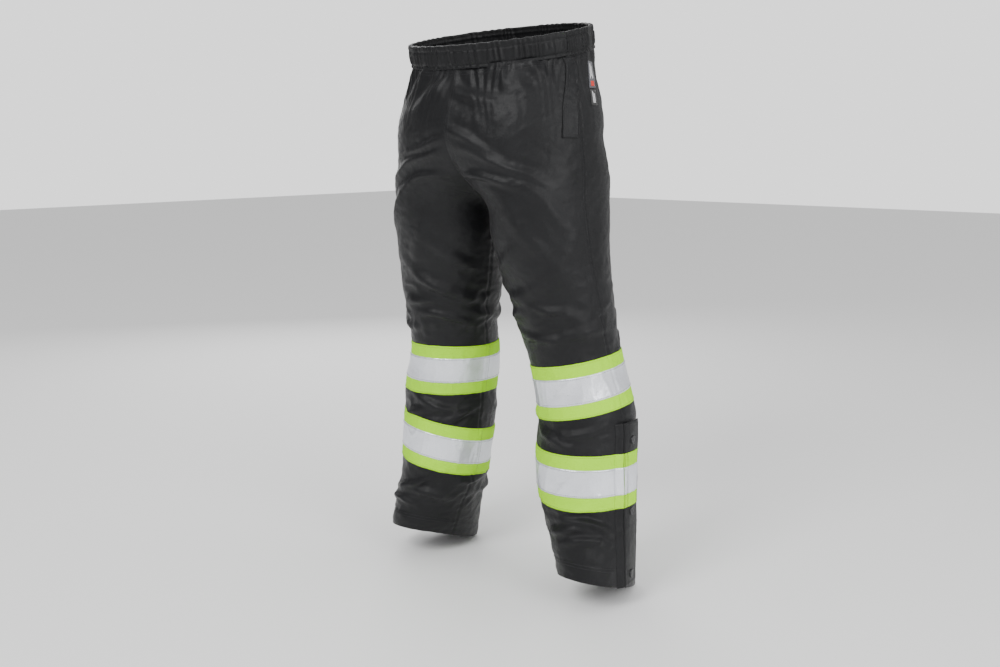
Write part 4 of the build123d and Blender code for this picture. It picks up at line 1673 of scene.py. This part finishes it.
@dataclass
class CuffBuilder(SideBuilder):
    """The zip, its storm flap and the snaps of one leg.

    Attributes:
        row, column: spacing of the grids' rows and columns.
        flap_sunk: how far the flap sinks where the bands cross it.
        tape_half_width, tape_lift, tape_thick: the zip tape's half width, place and thickness.
        tooth_pitch, tooth_lift: distance between the coil's loops, and their place.
        tooth_profile: reach across the zip and radius, along one loop.
    """

    row: float = 2.5
    column: float = 2.4
    flap_sunk: float = 0.9
    tape_half_width: float = 13.5
    tape_lift: float = -3.4
    tape_thick: float = 0.8
    tooth_pitch: float = 1.5
    tooth_lift: float = -1.3
    tooth_profile: tuple[tuple[float, float], ...] = ((-0.8, 0.45), (-0.6, 0.62), (2.6, 0.62), (2.9, 0.4))

    def ribbon(
        self, front: float, back: float, low: float, high: float, across: int
    ) -> tuple[np.ndarray, np.ndarray]:
        """A grid of places beside the side seam.

        Args:
            front: distance of the first column behind the seam.
            back: distance of the last column behind the seam.
            low: height of the first row.
            high: height of the last row.
            across: number of columns.

        Returns:
            Angles and heights, rows x columns.
        """
        z = np.linspace(low, high, int((high - low) / self.row) + 1)
        angle = np.stack([self.half.form.angle_behind(b, z) for b in np.linspace(front, back, across)], 1)
        return angle, np.broadcast_to(z[:, None], angle.shape)

    def slab(
        self, front: float, back: float, low: float, high: float, lift: float, thick: float
    ) -> list[Grid]:
        """A strip of cloth beside the seam with thickness and both faces.

        Args:
            front: distance of its front edge behind the seam.
            back: distance of its back edge behind the seam.
            low: height of its lower end.
            high: height of its upper end.
            lift: distance of its underside off the fabric.
            thick: its thickness; over a band it is pressed thinner.

        Returns:
            The slab's sheets.
        """
        angle, height = self.ribbon(front, back, low, high, max(4, int((back - front) / self.column) + 1))
        over = self.half.folds.under_bands(self.half.form.point(angle, height))
        sunk = self.flap_sunk * over * (lift > 0)  # the zip tape lies inside, clear of the bands
        bottom = self.half.surface(angle, height, lift)
        grids = skirted(self.half.surface(angle, height, lift + thick - sunk), bottom)
        return mirrored([*grids, Grid(bottom, flip=True)], self.side)

    def root(self) -> list[Grid]:
        """The flap's stitched root, which rises from the fabric to the hinge."""
        angle, height = self.ribbon(ROOT_START, FLAP_HINGE - 0.1, FLAP_BOTTOM, FLAP_TOP, 10)
        rise = root_rise(np.linspace(ROOT_START, FLAP_HINGE - 0.1, 10)) - 0.6
        top, bottom = self.half.surface(angle, height, rise), self.half.surface(angle, height, -0.6)
        return mirrored(skirted(top, bottom), self.side)

    def build(self) -> list[bpy.types.Object]:
        """Makes the flap, its root, its bands, the zip tape and coil, and the snaps."""
        flap, shin = self.side.body("flap"), self.side.body("shin")
        spec, bands = BANDS[self.side][1], BandBuilder(self.half, self.finishes)
        angle_at = self.half.form.angle_at
        first, last = angle_at(FLAP_HINGE + 1.5, spec.height), angle_at(FLAP_BACK - 0.6, spec.height)
        angles = np.linspace(first, last, 22)
        face, wide = FLAP_LIFT + FLAP_THICK, self.tape_half_width
        cover = self.slab(FLAP_HINGE + 0.1, FLAP_BACK, FLAP_BOTTOM, FLAP_TOP, FLAP_LIFT, FLAP_THICK)
        bright = bands.strip(spec, BAND_WIDTH, face + 0.1, angles)
        silver = bands.strip(spec, STRIP_WIDTH, face + 0.7, angles)
        tape = self.slab(-wide, wide, ZIP_BOTTOM - 6, ZIP_TOP + 6, self.tape_lift, self.tape_thick)
        cloth, hard, strip = self.finishes.cloth, self.finishes.hard, "flap_reflective_strip"
        made = []
        for name, grids, material, body, slot, node in (
            ("flap_cover", cover, cloth(SHELL), flap, "shell_fabric", "storm_flap"),
            ("flap_flange", self.root(), cloth(SHELL), shin, "shell_fabric", "flap_root"),
            ("flap_hivis_band_tape", bright, cloth(HIVIS), flap, "hivis_tape", "flap_hivis_band"),
            (f"{strip}_tape", silver, cloth(SILVER), flap, "reflective_tape", strip),
            ("zip_ribbon", tape, cloth(ZIP_TAPE), shin, "zip_tape", "zip_tape"),
            ("zip_teeth", self.teeth(), hard(ZIP_COIL), shin, "zip_coil", "zip_coil"),
        ):
            made.append(dress(f"{name}_{self.side.word}", grids, material, body, slot, self.named(node)))
        for snap in SNAPS:
            name, body = f"{snap.name}_{self.side.word}", self.side.body(snap.part)
            material, nodes = hard(snap.finish), self.named(snap.node)
            made.append(dress(name, self.lathe(snap), material, body, snap.finish.name, nodes))
        return made

    def frame_at(
        self, behind: float, z: float, lift: float
    ) -> tuple[np.ndarray, np.ndarray, np.ndarray, np.ndarray]:
        """A place on the cloth with its own directions, from small steps round the leg and up it.

        Args:
            behind: distance behind the side seam.
            z: height.
            lift: distance off the cloth.

        Returns:
            The point and the directions outwards, backwards and upwards.
        """
        surface, here = self.half.surface, np.full(1, z)
        angle = self.half.form.angle_behind(behind, here)
        back = unit(surface(angle + 0.05, here, lift)[0] - surface(angle - 0.05, here, lift)[0])
        up = unit(surface(angle, here + 5, lift)[0] - surface(angle, here - 5, lift)[0])
        return surface(angle, here, lift)[0], unit(np.cross(back, up)) * self.side.value, back, up

    def teeth(self) -> list[Grid]:
        """The coil's loops, left and right in turn, as small rounded bars across the zip."""
        grids = []
        turns = np.linspace(0, 2 * math.pi, 7)
        for index, z in enumerate(np.arange(ZIP_BOTTOM, ZIP_TOP - 5, self.tooth_pitch)):
            point, out, back, up = self.frame_at(0, float(z), self.tooth_lift)
            hand = 1 if index % 2 else -1
            ring = np.outer(np.cos(turns), out) * 1.4 + np.outer(np.sin(turns), up)
            rows = [point + back * hand * reach + size * ring for reach, size in self.tooth_profile]
            grids.append(Grid(np.stack(rows), flip=(hand > 0) == (self.side is Side.LEFT)))
        return grids

    def lathe(self, snap: Snap) -> list[Grid]:
        """The turned part at each snap: its profile carried round a circle.

        Args:
            snap: the part.

        Returns:
            One sheet for each snap on the leg.
        """
        grids = []
        turns = np.linspace(0, 2 * math.pi, 33)
        for z in SNAP_HEIGHTS:
            point, out, back, up = self.frame_at(SNAP_SEAT, z, snap.lift)
            ring = np.outer(np.cos(turns), back) + np.outer(np.sin(turns), up)
            rows = [point + out * rise + radius * ring for radius, rise in snap.profile]
            grids.append(Grid(np.stack(rows), flip=(self.side is Side.RIGHT) != snap.inverted))
        return grids


# -------------------- stitching
@dataclass
class StitchingBuilder(SideBuilder):
    """The rows of stitches of one side, gathered by the body that they ride on.

    Attributes:
        length, pitch: length of one stitch, and distance from stitch to stitch.
        thread: radius of the thread.
        arch: height of a stitch off the cloth at its start, a quarter, three quarters and its end.
    """

    length: float = 2.6
    pitch: float = 3.5
    thread: float = 0.3
    arch: tuple[float, ...] = (-0.35, 0.22, 0.22, -0.35)

    def row(self, angle: np.ndarray, z: np.ndarray, lift: float | np.ndarray = 0.0) -> Grid:
        """One row of stitches: five-sided tubes along the path, which sink into the cloth at their ends.

        Args:
            angle: angles of the path's points.
            z: their heights.
            lift: their distance off the fabric.

        Returns:
            The tubes as one sheet, with the cells between stitches left out.
        """
        base = self.half.surface(angle, z, lift)
        out = unit(self.half.surface(angle, z, np.asarray(lift) + 1.0) - base)
        gone = np.concatenate([[0.0], np.cumsum(np.linalg.norm(np.diff(base, axis=0), axis=-1))])
        starts = np.arange(0.0, gone[-1] - self.length, self.pitch)
        spots = (starts[:, None] + self.length * np.array([0.0, 0.25, 0.75, 1.0])).ravel()

        def read(values: np.ndarray, at: np.ndarray) -> np.ndarray:
            """The path's values at distances along it."""
            return np.stack([np.interp(at, gone, values[:, axis]) for axis in range(3)], -1)

        centre, up = read(base, spots), unit(read(out, spots))
        beside = np.cross(unit(read(base, spots + 0.6) - read(base, spots - 0.6)), up)
        turns = np.linspace(0, 2 * math.pi, 5, endpoint=False)
        rise = np.tile(self.arch, len(starts))[:, None, None] + self.thread * np.sin(turns)[None, :, None]
        across = self.thread * np.cos(turns)[None, :, None]
        keep = np.ones((len(spots) - 1, len(turns)), bool)
        keep[3::4] = False
        rings = centre[:, None] + up[:, None] * rise + beside[:, None] * across
        return Grid(rings, closed=True, keep=keep, flip=True)

    def level_row(self, level: float, start: float, end: float, lift: float = 0.0) -> Grid:
        """A row that follows the weave at one level, between two angles."""
        angle = np.linspace(start, end, 400)
        return self.row(angle, self.half.row_height(angle, np.full(400, level)), lift)

    def beside_seam(
        self, behind: float, low: float, high: float, lift: Callable[[np.ndarray], np.ndarray] | None = None
    ) -> Grid:
        """A row that runs up the leg beside the side seam.

        Args:
            behind: distance behind the seam.
            low: height of its lower end.
            high: height of its upper end.
            lift: gives distances off the fabric at points; without it the row lies on the fabric.

        Returns:
            The row.
        """
        z = np.linspace(low, high, 160)
        angle = self.half.form.angle_behind(behind, z)
        return self.row(angle, z, lift(self.half.form.point(angle, z)) if lift else 0.0)

    def beside_rise(self, away: float) -> Grid:
        """A row beside the centre seam at the front.

        Args:
            away: its distance from the seam.

        Returns:
            The row.
        """
        z = np.linspace(CREASE_HEIGHT + 35, WAIST_SEAM - 34, 200)
        edge = -self.half.form.reach(z)
        return self.row(edge + away / self.half.form.speed(edge, z), z)

    def waist(self) -> list[Grid]:
        """Two rows below the casing, round this side's half of the waist."""
        return [self.level_row(WAIST_SEAM - drop, -math.pi / 2, math.pi / 2, 0.1) for drop in (6.5, 11.5)]

    def welt(self) -> list[Grid]:
        """Two rows along the pocket's welt and two across each of its ends."""
        side_angle, lift = self.half.form.side_angle, 2.7
        z = np.linspace(824, 952, 90)
        rows = [self.row(side_angle(y, z), z, lift) for y in (-75.0, -70.5)]
        for height in (823.0, 828.0, 948.0, 953.0):
            level = np.full(20, height)
            rows.append(self.row(side_angle(np.linspace(-76, -51, 20), level), level, lift))
        return rows

    def flap(self) -> list[Grid]:
        """The rows along the flap's edges and its front fold, which step up over the band."""
        face, angle_at = FLAP_LIFT + FLAP_THICK + 0.05, self.half.form.angle_at

        def over_bands(points: np.ndarray) -> np.ndarray:
            """Distances off the fabric: the flap's face, and the tape's where a band crosses it."""
            return face + 1.3 * self.half.folds.under_bands(points)

        front, back, low, high = FLAP_HINGE + 3.5, FLAP_BACK - 4.0, FLAP_BOTTOM + 4, FLAP_TOP - 4
        rows = [self.beside_seam(behind, low, high, over_bands) for behind in (front, FLAP_HINGE + 9.5, back)]
        for z in (low, high):
            angle = np.array([angle_at(behind, z) for behind in np.linspace(front, back, 20)])
            rows.append(self.row(angle, np.full(20, z), face))
        return rows

    def bands(self) -> dict[str, list[Grid]]:
        """The rows along the edges of the bands and strips, and where the tape's ends meet.

        Returns:
            The rows in bright thread under "tape", and those in grey thread under "strip".
        """
        builder, form = BandBuilder(self.half, self.finishes), self.half.form
        rows: dict[str, list[Grid]] = {"tape": [], "strip": []}
        for spec in BANDS[self.side]:
            start, end = -math.pi, math.pi
            if spec.on_cuff:
                start = form.angle_at(SLOT_HALF_WIDTH + 4, spec.height)
                end = form.angle_at(FLAP_FRONT - 4, spec.height) + 2 * math.pi
            angle = np.linspace(start, end, 420)
            for kind, half_width, lift in (
                ("tape", BAND_WIDTH / 2 - 3.0, 1.0),
                ("strip", STRIP_WIDTH / 2 - 3.0, 1.55),
            ):
                for offset in (-half_width, half_width):
                    z = builder.heights(spec, angle, offset)
                    rise = builder.relief(angle, z, np.full(angle.shape, offset), 3.0)
                    rows[kind].append(self.row(angle, z, lift + rise))
            away = math.pi - 8.0 / float(form.speed(np.array(3.0), np.array(float(spec.height))))
            offsets = np.linspace(-BAND_WIDTH / 2 + 2, BAND_WIDTH / 2 - 2, 60)
            column = np.full(60, away)
            z = np.array([float(builder.heights(spec, column[:1], o)[0]) for o in offsets])
            over = 1.0 + builder.relief(column, z, offsets, 20.0)
            over = over + 0.55 * (1 - smoothstep(np.abs(offsets), STRIP_WIDTH / 2 - 2, STRIP_WIDTH / 2 + 2))
            rows["strip"].append(self.row(column, z, over))
        return rows

    def build(self) -> list[bpy.types.Object]:
        """Makes every row, as one object for each body and thread."""
        angle_at, ahead = self.half.form.angle_at, -4.5
        front = angle_at(FLAP_FRONT - 3, 30.0) + 2 * math.pi
        back = angle_at(SLOT_HALF_WIDTH + 3, 30.0)
        hem = [self.level_row(HEM_HEIGHT + up, back, front, 0.1) for up in (HEM_DEPTH - 2, HEM_DEPTH - 8)]
        hem.append(self.beside_seam(ahead, ZIP_TOP + 16, KNEE_BOTTOM - 5))
        trim = self.waist() + self.welt()
        if self.side is Side.LEFT:
            trim += [self.beside_rise(6.0), self.beside_rise(12.0)]
        leg = [self.beside_seam(ahead, KNEE_TOP + 10, CREASE_HEIGHT + 90)]
        bands, shin, flap = self.bands(), self.side.body("shin"), self.side.body("flap")
        made = []
        for name, grids, finish, holder, slot in (
            ("seat", trim, THREAD, "seat", "shell_fabric"),
            ("hem", hem, THREAD, shin, "shell_fabric"),
            ("flap", self.flap(), THREAD, flap, "shell_fabric"),
            ("tape", bands["tape"], TAPE_THREAD, shin, "hivis_tape"),
            ("strip", bands["strip"], STRIP_THREAD, shin, "reflective_tape"),
            ("leg", leg, THREAD, Bend.hip(self.side), "shell_fabric"),
        ):
            material = self.finishes.cloth(finish)
            made.append(dress(f"stitches_{name}_{self.side.word}", grids, material, holder, slot, merge=0.0))
        return made


# -------------------- pockets and labels
@dataclass
class SeatTrimBuilder(SideBuilder):
    """The pocket welt of one side, and the labels on the left one.

    Places are given as distances behind the garment's middle, and heights.

    Attributes:
        welt: front, back, lower and upper edge of the welt.
        upper_label, lower_label: the same for the labels.
        block: the same for the red block.
        lettering: the same for each bar of lettering.
        print_lift, print_thick: distance of the print off the fabric, and its thickness.
    """

    welt: tuple[float, ...] = (-77, -50, 820, 956)
    upper_label: tuple[float, ...] = (-14, 8, 906, 952)
    lower_label: tuple[float, ...] = (-14, 6, 876, 903)
    block: tuple[float, ...] = (-9.0, 3.0, 909, 918)
    lettering: tuple[tuple[float, ...], ...] = (
        (-9.5, -7.0, 922, 948),
        (-5.5, -3.0, 926, 948),
        (-1.5, 1.0, 922, 944),
        (-8.0, -5.0, 880, 900),
        (-3.0, 0.0, 880, 896),
    )
    print_lift: float = 1.3
    print_thick: float = 0.25

    def patch(self, place: tuple[float, ...], lift: float, thick: float) -> list[Grid]:
        """A thin slab on the side of the seat.

        Args:
            place: its front, back, lower and upper edge.
            lift: distance of its underside off the fabric.
            thick: its thickness.

        Returns:
            The slab's sheets.
        """
        front, back, low, high = place
        z = np.linspace(low, high, int((high - low) / 2.5) + 1)
        y = np.linspace(front, back, max(5, int((back - front) / 2) + 1))
        height = np.broadcast_to(z[:, None], (len(z), len(y)))
        angle = self.half.form.side_angle(y[None], height)
        top = self.half.surface(angle, height, lift + thick)
        return mirrored(skirted(top, self.half.surface(angle, height, lift - 1.0)), self.side)

    def printed(self, *places: tuple[float, ...]) -> list[Grid]:
        """Printed areas of the labels, as very thin slabs."""
        return [grid for place in places for grid in self.patch(place, self.print_lift, self.print_thick)]

    def build(self) -> list[bpy.types.Object]:
        """Makes the welt and, on the left side, the labels with plain bars for lettering and a red block."""
        word, cloth, hard = self.side.word, self.finishes.cloth, self.finishes.hard
        welt = self.patch(self.welt, 0.4, 2.2)
        made = [dress(f"welt_{word}", welt, cloth(SHELL), "seat", "shell_fabric", self.named("pocket_welt"))]
        if self.side is Side.RIGHT:
            return made
        upper, lower = (self.patch(place, 0.6, 0.7) for place in (self.upper_label, self.lower_label))
        for name, grids, material, nodes in (
            ("side_label_upper_tag", upper, cloth(LABEL_GREY), ("side_label_upper",)),
            ("side_label_lower_tag", lower, cloth(LABEL_DARK), ("side_label_lower",)),
            ("label_lettering", self.printed(*self.lettering), hard(PRINT_LIGHT), ()),
            ("label_block", self.printed(self.block), hard(PRINT_RED), ()),
        ):
            made.append(dress(name, grids, material, "seat", "label", nodes))
        return made


# -------------------- stage
@dataclass
class Studio:
    """Floor, soft lights and the camera.

    Attributes:
        azimuth, distance, height: the camera's place round the garment, in degrees and metres.
        pitch, aside: how far it looks down and turns aside, in degrees.
        lens: its focal length in millimetres.
        floor_size: half the floor's width in metres.
        lamps: name, place, size and power of each soft lamp.
        aim: height that the lamps point at.
    """

    azimuth: float = 40.0
    distance: float = 2.10
    height: float = 0.856
    pitch: float = 10.0
    aside: float = 0.15
    lens: float = 39.8
    floor_size: float = 12.0
    lamps: tuple[tuple[str, tuple[float, float, float], float, float], ...] = (
        ("key", (0.2, -2.8, 2.7), 1.3, 75),
        ("fill", (3.0, -0.6, 1.5), 1.6, 48),
        ("rim", (-2.2, 1.6, 1.6), 1.8, 30),
    )
    aim: float = 0.55

    def build(self) -> None:
        """Sets up the whole stage."""
        self.floor()
        self.world()
        self.lights()
        self.camera()

    def floor(self) -> None:
        """A plain pale floor at the hems' level."""
        mesh = bpy.data.meshes.new("floor")
        size = self.floor_size
        corners = [(-size, -size, 0), (size, -size, 0), (size, size, 0), (-size, size, 0)]
        mesh.from_pydata(corners, [], [(0, 1, 2, 3)])
        floor = bpy.data.objects.new("floor", mesh)
        bpy.context.scene.collection.objects.link(floor)
        material = bpy.data.materials.new("floor_pale")
        material.use_nodes = True
        surface = material.node_tree.nodes["Principled BSDF"]
        surface.inputs["Base Color"].default_value = (0.93, 0.93, 0.93, 1)
        surface.inputs["Roughness"].default_value = 0.7
        mesh.materials.append(material)

    def world(self) -> None:
        """A white backdrop that lights the garment more from above and from its left than from below."""
        world = bpy.data.worlds.new("studio")
        bpy.context.scene.world = world
        world.use_nodes = True
        n = Nodes(world.node_tree)
        background = world.node_tree.nodes["Background"]
        background.inputs[0].default_value = (1, 1, 1, 1)
        seen = n.add("ShaderNodeLightPath").outputs["Is Camera Ray"]
        split = n.add("ShaderNodeSeparateXYZ")
        n.link(n.add("ShaderNodeTexCoord").outputs["Generated"], split.inputs[0])
        left, top = n.maths("MULTIPLY", split.outputs[0], 0.45), n.maths("MULTIPLY", split.outputs[2], 0.75)
        glow = n.add("ShaderNodeMapRange", in_From_Min=-0.5, in_From_Max=0.8, in_To_Min=0.10, in_To_Max=1.1)
        n.link(n.maths("ADD", left, top), glow.inputs["Value"])
        unseen = n.maths("SUBTRACT", 1.0, seen)
        shine = n.maths("ADD", n.maths("MULTIPLY", seen, 1.6), n.maths("MULTIPLY", unseen, glow.outputs[0]))
        n.link(shine, background.inputs[1])

    def lights(self) -> None:
        """Three large soft lamps that point at the garment's middle."""
        for name, place, size, power in self.lamps:
            lamp = bpy.data.lights.new(name, "AREA")
            lamp.size, lamp.energy = size, power
            obj = bpy.data.objects.new(name, lamp)
            obj.location = place
            obj.rotation_mode = "QUATERNION"
            obj.rotation_quaternion = (Vector((0, 0, self.aim)) - Vector(place)).to_track_quat("-Z", "Y")
            bpy.context.scene.collection.objects.link(obj)

    def camera(self) -> None:
        """The camera, above hip height, towards the garment's front left."""
        data = bpy.data.cameras.new("camera")
        data.lens, data.sensor_width = self.lens, 36.0
        obj = bpy.data.objects.new("camera", data)
        turn = math.radians(self.azimuth)
        x, y = self.distance * math.sin(turn), -self.distance * math.cos(turn) + FORE_AFT * MM
        obj.location = (x, y, self.height)
        obj.rotation_euler = (math.radians(90 - self.pitch), 0.0, turn + math.radians(self.aside))
        bpy.context.scene.collection.objects.link(obj)
        bpy.context.scene.camera = obj


def main() -> None:
    """Builds the whole garment round the frame."""
    logging.basicConfig(level=logging.INFO, format="%(message)s")
    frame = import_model()
    finishes, form = Finishes(), TrouserForm()
    made = WaistbandBuilder(finishes).build()
    for side in Side:
        half = HalfGarment(side, form)
        for builder in (ShellBuilder, BandBuilder, CuffBuilder, SeatTrimBuilder, StitchingBuilder):
            made += builder(half, finishes).build()
    for piece in made:
        LOG.info("%s: %d faces", piece.name, len(piece.data.polygons))
    metal = finishes.hard(ZIP_METAL)
    for side in Side:
        for name in ("zip_slider", "zip_pull"):
            node = frame["nodes"][f"{name}_{side.word}"]
            node.data.materials.clear()
            node.data.materials.append(metal)
    Studio().build()


if __name__ == "__main__":
    main()
